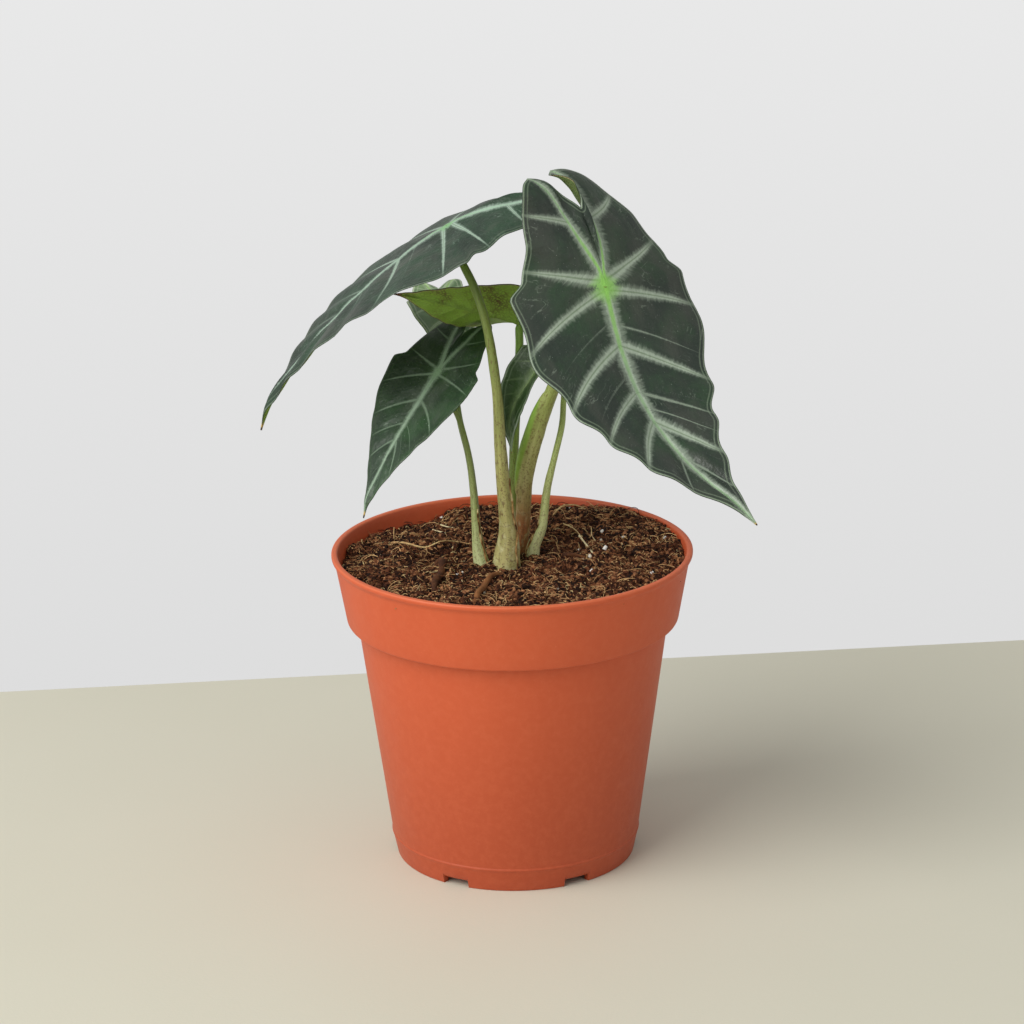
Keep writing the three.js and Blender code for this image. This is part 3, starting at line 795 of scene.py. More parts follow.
@dataclass
class Pot:
    """The moulded pot: a turned shell with six foot notches and six drain holes."""

    height: float = 97.3
    wall: float = 1.0
    lip_radius: float = 55.0
    band_top: float = 54.0
    band_foot: float = 50.6
    band_foot_z: float = 75.8
    body_top: float = 47.5
    line_z: float = 7.3
    line_radius: float = 38.5
    foot_radius: float = 36.7
    foot_width: float = 2.0
    floor_z: float = 2.8
    floor_thickness: float = 1.2
    pad_radius: float = 13.0
    notch_width: float = 8.4
    notch_height: float = 2.4
    notch_angles: tuple = (0, 60, 120, 180, 240, 300)
    hole_radius: float = 3.5
    hole_circle: float = 25.0
    hole_sides: int = 24
    hole_heights: tuple = (1.0, 6.0)
    spokes: int = 216

    def body_radius(self, height: float) -> float:
        """The outer radius of the tapered body at a height."""
        share = (height - self.line_z) / (self.band_foot_z - self.line_z)
        return self.line_radius - 0.3 + share * (self.body_top - self.line_radius + 0.3)

    def band_inside(self, height: float) -> float:
        """The inner radius of the upper band at a height."""
        share = (height - self.band_foot_z) / (self.height - self.band_foot_z)
        return self.band_foot + share * (self.band_top - self.band_foot) - self.wall

    def corners(self) -> list:
        """The outline's corners from the pad's middle out, up, over the lip and down.

        Returns:
            Radius, height and rounding radius of each corner.
        """
        floor_top = self.floor_z + self.floor_thickness
        ledge = self.band_foot_z + self.wall
        top = self.height
        return [
            (0, 0, 0), (self.pad_radius, 0, 0.4), (self.pad_radius + 1.2, self.floor_z, 0.4),
            (self.foot_radius - self.foot_width, self.floor_z, 0.3),
            (self.foot_radius - self.foot_width, 0, 0.3), (self.foot_radius, 0, 0.35),
            (self.line_radius - 0.35, self.line_z - 0.7, 0.3),
            (self.line_radius - 0.1, self.line_z - 0.2, 0.12),
            (self.line_radius - 0.1, self.line_z + 0.15, 0.12),
            (self.body_radius(self.line_z + 0.5) - 0.04, self.line_z + 0.5, 0.1),
            (self.body_radius(self.band_foot_z), self.band_foot_z, 0.35),
            (self.band_foot, self.band_foot_z, 0.75),
            (self.band_top, top - 2.5, 1.2), (self.lip_radius, top - 1.3, 0.5),
            (self.lip_radius, top, 0.75), (self.lip_radius - 1.75, top, 0.6),
            (self.band_inside(top - 1.6), top - 1.6, 0.8),
            (self.band_inside(ledge), ledge, 0.5),
            (self.body_radius(ledge) - self.wall, ledge, 0.4),
            (self.body_radius(floor_top + 2) - self.wall, floor_top + 2, 0.8),
            (self.foot_radius - 2, floor_top, 0.8), (self.pad_radius + 0.4, floor_top, 0.4),
            (self.pad_radius - 0.8, self.floor_thickness, 0.3), (0, self.floor_thickness, 0),
        ]

    def outline(self) -> Array:
        """The outline with its corners rounded and its long stretches divided."""
        corners = self.corners()
        line = []
        for index, (radius, height, rounding) in enumerate(corners):
            here = np.array([radius, height], dtype=float)
            if rounding == 0:
                line.append(here)
                continue
            before = np.array(corners[index - 1][:2]) - here
            after = np.array(corners[index + 1][:2]) - here
            reach = [min(rounding, 0.45 * np.linalg.norm(side)) for side in (before, after)]
            start = here + before / np.linalg.norm(before) * reach[0]
            end = here + after / np.linalg.norm(after) * reach[1]
            line += [arc(start, here, end, share) for share in np.linspace(0, 1, 6)]
        dense = [line[0]]
        for place in line[1:]:
            steps = max(1, int(np.linalg.norm(place - dense[-1]) / 3.0))
            start = dense[-1]
            dense += [start + (place - start) * step / steps for step in range(1, steps + 1)]
        return np.array(dense)

    def notch_half(self) -> float:
        """Half the angle that a notch spans, in degrees."""
        return math.degrees(math.asin(self.notch_width / 2 / self.foot_radius))

    def spoke_angles(self) -> Array:
        """The angles of the outline's copies, with a close pair at each notch's edges."""
        half = self.notch_half()
        angles = list(np.arange(self.spokes) * 360 / self.spokes)
        for middle in self.notch_angles:
            for edge in (middle - half, middle + half):
                angles = [a for a in angles if abs((a - edge + 180) % 360 - 180) > 0.5]
                angles += [(edge - 0.15) % 360, (edge + 0.15) % 360]
        return np.sort(np.array(angles))

    def shell(self) -> Shell:
        """The turned wall with the foot ring lifted in the notches."""
        middle, angles, half = self.outline()[1:-1], self.spoke_angles(), self.notch_half()
        rows, columns = len(middle), len(angles)
        points = np.empty((rows, columns, 3))
        turn = np.radians(angles)
        points[..., 0] = middle[:, :1] * np.cos(turn)
        points[..., 1] = middle[:, :1] * np.sin(turn)
        points[..., 2] = middle[:, 1:]
        on_ring = middle[:, 0] > self.foot_radius - self.foot_width - 0.5
        on_ring &= middle[:, 0] < self.line_radius
        for notch in self.notch_angles:
            inside = np.abs((angles - notch + 180) % 360 - 180) < half
            lifted = np.maximum(points[..., 2], self.notch_height)
            mask = on_ring[:, None] & inside[None] & (middle[:, 1] < self.notch_height)[:, None]
            points[..., 2] = np.where(mask, lifted, points[..., 2])
        flat = np.vstack([points.reshape(-1, 3), [[0, 0, 0]], [[0, 0, self.floor_thickness]]])
        return Shell(flat, capped_faces(rows, columns))

    def drill(self, pot: bpy.types.Object) -> None:
        """Cuts the drain holes through the floor, one between each two notches.

        Args:
            pot: The pot.
        """
        sides = self.hole_sides
        turn = circle(sides)
        for notch in self.notch_angles:
            angle = math.radians(notch + 180 / len(self.notch_angles))
            centre = self.hole_circle * np.array([math.cos(angle), math.sin(angle)])
            ring = centre + self.hole_radius * np.stack([np.cos(turn), np.sin(turn)], -1)
            points = np.vstack([np.c_[ring, np.full(sides, height)]
                                for height in self.hole_heights])
            faces = [list(range(sides - 1, -1, -1)), list(range(sides, 2 * sides))]
            faces += grid_faces(2, sides, wrap=True).tolist()
            cutter = Shell(points, faces).build("drain_cutter", [])
            cut = pot.modifiers.new("drain", "BOOLEAN")
            cut.operation, cut.solver, cut.object = "DIFFERENCE", "EXACT", cutter
            settled = bpy.data.meshes.new_from_object(
                pot.evaluated_get(bpy.context.evaluated_depsgraph_get()))
            pot.modifiers.clear()
            pot.data = settled
            bpy.data.objects.remove(cutter)

    def build(self) -> None:
        """Makes the pot and dresses it."""
        pot = self.shell().build("pot_moulded", [PotPlastic().material()])
        self.drill(pot)
        pot.data.polygons.foreach_set("use_smooth", np.ones(len(pot.data.polygons), dtype=bool))
        pot.data.set_sharp_from_angle(angle=math.radians(38))
        dress(pot, Slot.POT, "pot")


# -------------------- blades


@dataclass(frozen=True)
class LeafFinish:
    """The colours of one leaf and how strongly its veins are marked."""

    dark: tuple = (36, 50, 40)
    fresh: tuple = (40, 66, 42)
    # The greyish tint of the painted sheen, laid in patches and streaks.
    painted_sheen: tuple = (66, 70, 62)
    silver: tuple = (170, 186, 166)
    core: tuple = (142, 176, 132)
    heart: tuple = (146, 210, 94)
    margin: tuple = (142, 160, 134)
    under: tuple = (124, 158, 62)
    under_dark: tuple = (92, 82, 40)
    tip: tuple = (190, 158, 84)
    heart_reach: float = 9.0
    main_width: float = 1.0
    side_strength: float = 1.0
    side_width: float = 1.0
    side_reach: float = 500.0
    rim: float = 0.8
    roughness: float = 0.38

    def veins(self, book: Book) -> Wire:
        """How pale the veins make each place, from 0 to 1, with feathered sides.

        Args:
            book: The leaf's material in the making.

        Returns:
            The paleness.
        """
        streaks = book.noise(book.place("vein_place", (1.0, 0.2, 1.0)), 1600.0, 2.0, 0.6) - 0.5
        soft = book.noise(book.place("flat"), 420.0, 2.0) - 0.5
        wobble = streaks * 1.5 + soft * 0.9
        main, side = book.value("main") / self.main_width, book.value("side") / self.side_width
        sharp = (main + wobble * 0.7).between(1.6, 0.6)
        wide = (main + wobble * 1.5).between(2.7, 1.0) * 0.55
        thin = (side + wobble * 0.8).between(1.9, 0.7)
        halo = (side + wobble * 1.5).between(2.9, 1.1) * 0.42
        far = book.value("junction").between(self.side_reach, self.side_reach * 1.8, 1.0, 0.3)
        strength = book.value("side_strength") * self.side_strength * far
        return sharp.most(wide).most(thin.most(halo) * strength)

    def upper(self, name: str) -> bpy.types.Material:
        """Makes the dark upper face with its silvery veins, pale margin and painted sheen.

        Args:
            name: The leaf's name.

        Returns:
            The material.
        """
        book = Book(f"leaf_upper_{name}")
        flat = book.place("flat")
        cloud = book.noise(flat, 70.0, 4.0, 0.6)
        colour = book.mix(cloud.between(0.38, 0.66), self.dark, self.fresh)
        # Painted sheen: broad patches and fine streaks of a greyish tint stand in for the leaf's
        # soft reflections.
        patch = book.noise(book.place("flat", (1.0, 2.2, 1.0)), 48.0, 3.0).between(0.46, 0.72)
        colour = book.mix(patch * 0.6, colour, self.painted_sheen)
        lines = book.noise(book.place("vein_place", (0.25, 1.0, 1.0)), 900.0, 4.0, 0.7)
        colour = book.mix(lines.between(0.45, 0.8) * 0.3, colour, self.painted_sheen)
        wisps = book.noise(book.place("vein_place", (0.3, 1.0, 1.0)), 330.0, 3.0) - 0.5
        shown = book.noise(book.place("flat", (1.3, 1.0, 1.0)), 110.0).between(0.5, 0.68)
        colour = book.mix(wisps.maths("ABSOLUTE").between(0.014, 0.0) * shown * 0.3, colour,
                          self.silver)
        junction, main = book.value("junction"), book.value("main")
        colour = book.mix(junction.between(self.heart_reach * 2.2, 0.0) * 0.25, colour,
                          (66, 94, 52))
        veins = self.veins(book)
        colour = book.mix(veins * 0.88, colour, self.silver)
        centre = (book.value("side") / self.side_width).between(0.42, 0.08) * veins
        colour = book.mix(centre * 0.6, colour, (98, 120, 86))
        green = book.mix(junction.between(self.heart_reach * 3.6, 2.0), self.core, self.heart)
        streak = (book.noise(flat, 900.0) - 0.5) * 0.4
        core = (main / self.main_width + streak).between(0.76, 0.2) * 0.8
        colour = book.mix(core, colour, green)
        heart = (junction + (cloud - 0.5) * 5.0).between(self.heart_reach * 0.8, 1.0)
        colour = book.mix(heart * veins.between(0.1, 0.6) * 0.9, colour, self.heart)
        edge = book.value("edge")
        rim = (edge + (cloud - 0.5) * 0.35).between(0.7, 0.35) * edge.between(0.05, 0.2)
        line = (edge - 1.5 + (cloud - 0.5) * 0.9).maths("ABSOLUTE").between(0.34, 0.06) * 0.45
        colour = book.mix(rim.most(line) * self.rim, colour, self.margin)
        colour = self.dried(book, colour)
        specks = book.noise(flat, 2300.0, 1.0).between(0.72, 0.8) * 0.5
        colour = book.mix(specks, colour, (190, 200, 190))
        puff = book.bump(book.noise(flat, 330.0, 2.0), 0.0005)
        grain = book.bump(book.noise(flat, 1500.0, 3.0), 0.00006, puff)
        hairs = book.bump(lines, 0.00012, grain)
        roughness = book.noise(flat, 260.0, 3.0) * 0.14 + (self.roughness - 0.07) + veins * 0.1
        return book.finish(colour, roughness, hairs,
                           {"Specular IOR Level": 0.5, "Coat Weight": 0.1,
                            "Coat Roughness": 0.3})

    def dried(self, book: Book, colour: Wire) -> Wire:
        """Turns the leaf's very tip pale and then black.

        Args:
            book: The leaf's material in the making.
            colour: Its colour so far.

        Returns:
            The colour with the tip in it.
        """
        tip = book.value("tip_dry")
        colour = book.mix(tip.between(0.0, 0.5), colour, self.tip)
        return book.mix(tip.between(0.5, 0.75), colour, (58, 44, 34))

    def lower(self, name: str) -> bpy.types.Material:
        """Makes the paler, duller underside with its brown mottling.

        Args:
            name: The leaf's name.

        Returns:
            The material.
        """
        book = Book(f"leaf_under_{name}")
        flat = book.place("flat")
        cloud = book.noise(flat, 75.0, 4.0, 0.65)
        net = book.cells(book.place("flat", (1.0, 1.5, 1.0)), 950.0)
        mottle = cloud.between(0.4, 0.7) * net.between(0.25, 0.02) * 0.8
        colour = book.mix((mottle + cloud.between(0.45, 0.9) * 0.5).least(1.0), self.under,
                          self.under_dark)
        core = (book.value("main") + (cloud - 0.5)).between(1.4, 0.3) * 0.5
        colour = book.mix(core, colour, (120, 150, 64))
        side = book.value("side").between(0.8, 0.1) * book.value("side_strength")
        colour = book.mix(side * 0.3, colour, (118, 142, 66))
        edge = book.value("edge")
        colour = book.mix(edge.between(0.6, 0.25) * 0.55, colour, (176, 168, 120))
        colour = book.mix(edge.between(0.3, 0.1) * 0.8, colour, (88, 54, 40))
        colour = self.dried(book, colour)
        grain = book.bump(book.noise(flat, 1400.0, 3.0), 0.00008)
        ridge = book.bump(net.between(0.0, 0.12), 0.0001, grain)
        return book.finish(colour, 0.5, ridge, {"Specular IOR Level": 0.4})


class LeafPattern:
    """The flat arrow-shaped leaf pattern, in fractions of a leaf's length."""

    MARGIN = ((-0.455, 0.125), (-0.43, 0.175), (-0.36, 0.218), (-0.25, 0.25), (-0.12, 0.29),
              (0, 0.305), (0.12, 0.302), (0.25, 0.285), (0.4, 0.245), (0.55, 0.188),
              (0.7, 0.123), (0.84, 0.055), (0.93, 0.02), (1, 0))
    INNER_MARGIN = ((-0.27, 0), (-0.32, 0.025), (-0.38, 0.052), (-0.43, 0.085), (-0.455, 0.125))
    LOBE_VEIN = ((0, 0), (-0.08, 0.04), (-0.16, 0.067), (-0.25, 0.088), (-0.33, 0.1),
                 (-0.42, 0.118), (-0.455, 0.125))
    VEIN_FROM = (-0.455, -0.23, -0.016, 0.016, 0.207, 0.375, 0.49, 0.645, 1)
    VEIN_TO = {1: (-0.455, -0.285, -0.135, 0.1, 0.45, 0.56, 0.73, 0.85, 1),
               -1: (-0.455, -0.285, -0.11, 0.2, 0.4, 0.52, 0.65, 0.78, 1)}
    VEINS = {1: ((1, 0.85), (2, 1.0), (3, 1.0), (3.62, 0.22), (4, 1.0), (5, 0.34), (5.5, 0.15),
                 (6, 0.95), (7, 0.25)),
             -1: ((1, 0.85), (2, 1.0), (3, 1.0), (3.55, 0.16), (4, 1.0), (4.6, 0.16), (5, 0.75),
                  (6, 0.85), (7, 0.25))}
    SINUS_STATION = 1.5
    JUNCTION_STATION = 2.5
    BEND = (0.36, 0.54)
    SCALLOP_SHIFT = 0.2
    SHEAR_REACH = 0.16

    def __init__(self, scallop: float) -> None:
        """Samples the pattern's curves and keeps the height of the margin's waves."""
        self.scallop = scallop
        self.margin = self.sampled(self.MARGIN)
        self.inner_margin = self.sampled(self.INNER_MARGIN)
        self.lobe_vein = self.sampled(self.LOBE_VEIN)

    @staticmethod
    def sampled(points: tuple) -> Array:
        """Places along the smooth curve through some points of the plane.

        Args:
            points: What the curve passes through.

        Returns:
            The places.
        """
        points = np.array(points, dtype=float)
        count = len(points)
        place = np.linspace(0, count - 1, 12 * count + 1)
        low = np.minimum(place.astype(int), count - 2)
        share = (place - low)[:, None]
        before, here = points[np.maximum(low - 1, 0)], points[low]
        after, beyond = points[low + 1], points[np.minimum(low + 2, count - 1)]
        leave, arrive = (after - before) / 2, (beyond - here) / 2
        return run_between(here, after, leave, arrive, share)

    @staticmethod
    def height_over(curve: Array, place: Array) -> Array:
        """A curve's second number where its first is place."""
        ordered = curve if curve[-1, 0] > curve[0, 0] else curve[::-1]
        return np.interp(place, ordered[:, 0], ordered[:, 1])

    @staticmethod
    def listed(values: tuple, station: Array) -> Array:
        """Values between those of a list."""
        return np.interp(station, np.arange(len(values)), values)

    def spine(self, station: Array) -> Array:
        """Where a station's cross line starts, on the lobe vein or the midrib."""
        along = self.listed(self.VEIN_FROM, station)
        aside = np.where(along < 0, self.height_over(self.lobe_vein, along), 0)
        return np.stack([along, aside], -1)

    def reached(self, ends: tuple, station: Array) -> Array:
        """How far along the leaf a cross line ends, with the list's corners rounded off.

        Args:
            ends: Where the cross lines of whole stations end.
            station: The stations asked for.

        Returns:
            Fractions of the leaf's length.
        """
        reach = np.minimum(0.5, np.minimum(station, len(ends) - 1 - station))
        total = np.zeros_like(station)
        for share in (-0.9, -0.6, -0.3, 0.0, 0.3, 0.6, 0.9):
            there = station + reach * share
            first = ends[0] + (ends[1] - ends[0]) * there ** 2
            total += np.where(there < 1, first, self.listed(ends, there)) / 7
        return total

    def edge(self, station: Array, side: int) -> Array:
        """Where it ends, on the scalloped margin.

        Args:
            station: The stations asked for.
            side: 1 for the left half and -1 for the right.

        Returns:
            The ends, on the left half.
        """
        ends = self.VEIN_TO[side]
        along = self.reached(ends, station)
        wave = np.cos(2 * np.pi * (station - self.SCALLOP_SHIFT))
        wave = wave * np.sin(np.pi * station / (len(ends) - 1)) * self.room(ends, station)
        return np.stack([along, self.height_over(self.margin, along) + self.scallop * wave], -1)

    def room(self, ends: tuple, station: Array) -> Array:
        """How much of its full height a wave of the margin has where veins end close together."""
        low, high = np.maximum(station - 0.5, 0), np.minimum(station + 0.5, len(ends) - 1)
        return np.clip((self.listed(ends, high) - self.listed(ends, low)) / 0.2, 0.3, 1)

    def sinus(self, station: Array) -> Array:
        """Where a lobe's inner cross line ends, on the line to the sinus or the inner margin.

        Args:
            station: The lobe's stations.

        Returns:
            The ends, on the left half.
        """
        notch, tip = self.INNER_MARGIN[0][0], self.INNER_MARGIN[-1][0]
        back = (self.JUNCTION_STATION - station) / (self.JUNCTION_STATION - self.SINUS_STATION)
        along = notch + (tip - notch) * (1 - station / self.SINUS_STATION)
        inside = station >= self.SINUS_STATION
        return np.stack([np.where(inside, notch * back, along),
                         np.where(inside, 0, self.height_over(self.inner_margin, along))], -1)

    def cross(self, start: Array, end: Array, share: Array) -> Array:
        """Places on the bent lines from the veins' starts to the margin.

        Args:
            start: Where the lines start.
            end: Where they end.
            share: How far along them the places are.

        Returns:
            A row of places for each line.
        """
        bend = start + np.array(self.BEND) * (end - start)
        share = share[None, :, None]
        return arc(start[:, None], bend[:, None], end[:, None], share)

    def vein_line(self, station: float, side: int) -> Array:
        """The line of one side vein."""
        station = np.array([float(station)])
        line = self.cross(self.spine(station), self.edge(station, side), np.linspace(0, 1, 20))
        return line[0] * np.array([1, side])


@dataclass
class Blade:
    """One leaf blade, bent along its midrib from the flat pattern."""

    name: str
    length: float
    breadth: float
    junction: tuple
    heading: tuple
    pitch: tuple
    roll: tuple
    fold_left: tuple
    fold_right: tuple
    curl: tuple
    lobe_lift: tuple
    lobe_spread: tuple
    finish: LeafFinish
    sinus_shift: float = 0.0
    rows_per_vein: int = 26
    columns: int = 40
    dry_tip: float = 0.035
    thickness: float = 0.46
    scallop: float = 0.012
    ripple: float = 0.009

    STATIONS = (-0.45, 0.0, 0.5, 1.0)
    QUILT = 0.01
    CREASE = 0.06
    MIDRIB_DROP = 1.3
    VEIN_DROP = 0.55
    FULL_LENGTH = 84
    FULL_MIDRIB = 1.55
    FULL_LOBE_VEIN = 1.75
    NOWHERE = 1e3

    def bend(self, values: tuple, along: Array) -> Array:
        """The smooth run through four values given at the bend stations.

        Args:
            values: The four values.
            along: Places along the midrib.

        Returns:
            The value at each place.
        """
        total = np.zeros_like(along)
        for i, value in enumerate(values):
            weight = np.ones_like(along)
            for j, station in enumerate(self.STATIONS):
                if i != j:
                    weight = weight * (along - station) / (self.STATIONS[i] - station)
            total = total + value * weight
        return total

    def axes(self, along: Array) -> tuple:
        """The midrib's direction, the blade's left and its upper face along the midrib.

        Args:
            along: Places along the midrib.

        Returns:
            Three arrays of directions.
        """
        heading, pitch, roll = (np.radians(self.bend(values, along))
                                for values in (self.heading, self.pitch, self.roll))
        ahead = np.stack([np.cos(pitch) * np.cos(heading), np.cos(pitch) * np.sin(heading),
                          np.sin(pitch)], -1)
        level = np.stack([-np.sin(heading), np.cos(heading), np.zeros_like(heading)], -1)
        left = (level * np.cos(roll)[..., None]
                + np.cross(ahead, level) * np.sin(roll)[..., None])
        return ahead, left, np.cross(ahead, left)

    def midrib(self, along: Array) -> Array:
        """The midrib's places, summed up in small steps both ways from the junction.

        Args:
            along: Places along the midrib, as fractions of the length.

        Returns:
            The places in space, in millimetres.
        """
        count = 64
        places = np.zeros(along.shape + (3,))
        for end in (1.0, -0.5):
            step = end / count
            ahead = self.axes((np.arange(count) + 0.5) * step)[0]
            line = np.vstack([[0, 0, 0], np.cumsum(ahead * step * self.length, axis=0)])
            line = line + np.array(self.junction)
            where = np.clip(along / end, 0, 1) * count
            part = np.stack([np.interp(where, np.arange(count + 1), line[:, axis])
                             for axis in range(3)], -1)
            chosen = along < 0 if end < 0 else along >= 0
            places = np.where(chosen[..., None], part, places)
        return places

    def bent(self, along: Array, aside: Array) -> Array:
        """The places in space of points of the flat pattern.

        Args:
            along: The points' places along the midrib.
            aside: Their places across it, above 0 on the leaf's left half.

        Returns:
            The places, in millimetres.
        """
        shear = smoothstep(along / LeafPattern.INNER_MARGIN[0][0], 0, 1)
        shear = shear * (1 - smoothstep(np.abs(aside), 0, LeafPattern.SHEAR_REACH))
        aside = aside + self.sinus_shift * shear
        right = aside < 0
        out = np.abs(aside) * self.length * self.breadth
        soft = self.CREASE * self.length * smoothstep(-along, 0, 0.06)
        out = np.where(along < 0, np.sqrt(out ** 2 + soft ** 2) - soft, out)
        fold = np.radians(np.where(right, self.bend(self.fold_right, along),
                                   self.bend(self.fold_left, along)))
        turn = np.radians(np.where(right, self.curl[1] or 1e-4, self.curl[0] or 1e-4))
        turn = turn / (0.3 * self.length)
        lobe = (np.maximum(0, -along) / 0.45) ** 2 * smoothstep(np.abs(aside), 0, 0.08)
        across = ((np.sin(fold + turn * out) - np.sin(fold)) / turn
                  + np.where(right, self.lobe_spread[1], self.lobe_spread[0]) * lobe)
        rise = ((np.cos(fold) - np.cos(fold + turn * out)) / turn
                + np.where(right, self.lobe_lift[1], self.lobe_lift[0]) * lobe)
        _, left, up = self.axes(along)
        side = np.where(right, -1.0, 1.0)
        return (self.midrib(along) + left * (side * across)[..., None]
                + up * rise[..., None])

    def faced(self, along: Array, aside: Array) -> Array:
        """The direction that the upper face looks in.

        Args:
            along: Places along the midrib.
            aside: Places across it.

        Returns:
            The directions.
        """
        reach = 0.03
        ahead = self.bent(along + reach, aside) - self.bent(along - reach, aside)
        across = self.bent(along, aside + reach) - self.bent(along, aside - reach)
        face = np.cross(ahead, across)
        return face / np.linalg.norm(face, axis=-1)[..., None]

    def net(self, pattern: LeafPattern) -> tuple:
        """The flat net: its points, their stations and shares, and its faces.

        Args:
            pattern: The flat leaf pattern.

        Returns:
            Points, stations, shares and a list of faces seen from above.
        """
        last = len(pattern.VEIN_FROM) - 1
        stations = np.linspace(0, last, last * self.rows_per_vein + 1)
        shares = np.linspace(0, 1, self.columns) ** 0.9
        lobe = stations[stations <= pattern.JUNCTION_STATION]
        inner = np.linspace(0, 1, max(6, self.columns // 3))
        parts = []
        for side in (1, -1):
            mirror = np.array([1, side])
            outer = pattern.cross(pattern.spine(stations), pattern.edge(stations, side), shares)
            parts.append((outer * mirror, stations, shares, side))
            start, end = pattern.spine(lobe)[:, None], pattern.sinus(lobe)[:, None]
            strip = start + (end - start) * inner[None, :, None]
            parts.append((strip * mirror, lobe, inner, -side))
        points, places, faces, count = [], [], [], 0
        for grid, rows, columns, side in parts:
            squares = grid_faces(len(rows), len(columns), count)
            faces.append(squares[:, ::-1] if side > 0 else squares)
            points.append(grid.reshape(-1, 2))
            row, column = np.meshgrid(rows, columns, indexing="ij")
            places.append(np.stack([row.ravel(), column.ravel()], -1))
            count += grid.shape[0] * grid.shape[1]
        points, places = np.vstack(points), np.vstack(places)
        keys = np.round(points * 2e5).astype(np.int64)
        _, first, merged = np.unique(keys, axis=0, return_index=True, return_inverse=True)
        merged = merged.ravel()
        clean = []
        for face in merged[np.vstack(faces)].tolist():
            corners = [c for i, c in enumerate(face) if c != face[i - 1]]
            if len(set(corners)) == len(corners) > 2:
                clean.append(corners)
        return points[first], places[first, 0], places[first, 1], clean

    def marks(self, pattern: LeafPattern, flat: Array) -> dict:
        """What the finish needs to know at each point of the net.

        Args:
            pattern: The flat leaf pattern.
            flat: The net's points in the flat pattern.

        Returns:
            Arrays by name: widths from the veins, the margin and the junction.
        """
        size = self.length * np.array([1, self.breadth])
        place = flat * size
        scale = (self.length / self.FULL_LENGTH) ** 0.5
        side = np.where(flat[:, 1] < 0, -1, 1)
        main_gap = np.full(len(flat), self.NOWHERE)
        main_run = np.zeros(len(flat))
        strong = np.full(len(flat), self.NOWHERE)
        strength = np.zeros(len(flat))
        side_run, side_gap = np.zeros(len(flat)), np.zeros(len(flat))
        edge = np.full(len(flat), self.NOWHERE)
        stations = np.linspace(0, len(pattern.VEIN_FROM) - 1, 240)
        for half in (1, -1):
            mirror = np.array([1, half])
            mine = side == half
            here = place[mine]
            for line, foot in ((np.array([[0, 0], [1.0, 0]]), self.FULL_MIDRIB),
                               (pattern.lobe_vein * mirror, self.FULL_LOBE_VEIN)):
                gap, run = nearest_on_lines(here, line * size)
                gap = gap / (scale * (foot - 0.95 * run / curve_length(line * size)))
                closer = gap < main_gap[mine]
                main_gap[mine] = np.where(closer, gap, main_gap[mine])
                main_run[mine] = np.where(closer, run, main_run[mine])
            for number, power in pattern.VEINS[half]:
                line = pattern.vein_line(number, half) * size
                gap, run = nearest_on_lines(here, line)
                width = scale * power * (1.15 - 0.75 * run / curve_length(line))
                relative = gap / width
                closer = relative < strong[mine]
                strong[mine] = np.where(closer, relative, strong[mine])
                side_run[mine] = np.where(closer, run, side_run[mine])
                side_gap[mine] = np.where(closer, gap, side_gap[mine])
                fade = 1 - 0.75 * smoothstep(run / curve_length(line), 0.75, 1.0)
                strength[mine] = np.where(closer, (0.45 + 0.55 * power) * fade, strength[mine])
            outline = [pattern.edge(stations, half), pattern.inner_margin]
            for line in outline:
                gap, _ = nearest_on_lines(here, line * mirror * size)
                edge[mine] = np.minimum(edge[mine], gap)
        by_main = main_gap < strong
        run = np.where(by_main, main_run, side_run)
        gap = np.where(by_main, main_gap, side_gap)
        seed = self.length * 3.7
        return {
            "main": main_gap, "side": strong, "side_strength": strength, "edge": edge,
            "junction": np.linalg.norm(place, axis=1),
            "vein_place": np.stack([run + seed, gap, np.full(len(flat), seed)], -1) * MM,
            "flat": np.stack([place[:, 0], place[:, 1], np.full(len(flat), seed)], -1) * MM,
            "tip_dry": np.clip((flat[:, 0] - 1) / max(self.dry_tip, 1e-4) + 1, 0, 1),
        }

    def relief(self, flat: Array, station: Array, share: Array,
               marks: dict) -> tuple:
        """How far the two faces stand off the blade's middle, and how far that is lifted.

        Args:
            flat: The net's points in the flat pattern.
            station: Their stations.
            share: How far each lies from its vein to the margin.
            marks: What the finish knows of them.

        Returns:
            The lift, and what the upper and the lower face stand off, in millimetres.
        """
        cell = np.sin(np.pi * station) ** 2
        scale = self.length / self.FULL_LENGTH
        between = cell * np.sin(np.pi * share) * smoothstep(marks["junction"], 2, 16 * scale)
        margin = (cell - 0.5) * (1 - smoothstep(marks["edge"], 0, 7 * scale))
        lift = self.length * (self.QUILT * between + self.ripple * margin)
        place = marks["flat"] / MM
        wave = Grain(int(self.length * 10)).layers(place, 4.5 * scale ** 0.5, 3)
        lift = lift + 0.1 * wave * smoothstep(marks["side"], 0.4, 3.0)
        taper = np.where(flat[:, 0] < 0, 0.75 + flat[:, 0], 1 - 0.75 * flat[:, 0])
        rib = np.exp(-(marks["main"] / 0.85) ** 2)
        side = np.exp(-(marks["side"] / 0.8) ** 2) * marks["side_strength"] * (1 - 0.7 * share)
        thin = 0.4 + 0.6 * smoothstep(marks["edge"], 0, 1.6 * scale)
        half = self.thickness / 2 * thin
        rise = half + (0.1 * rib * taper - 0.1 * side) * scale
        drop = half + (self.MIDRIB_DROP * rib * taper + self.VEIN_DROP * side) * scale
        return lift, np.maximum(rise, 0.06), drop

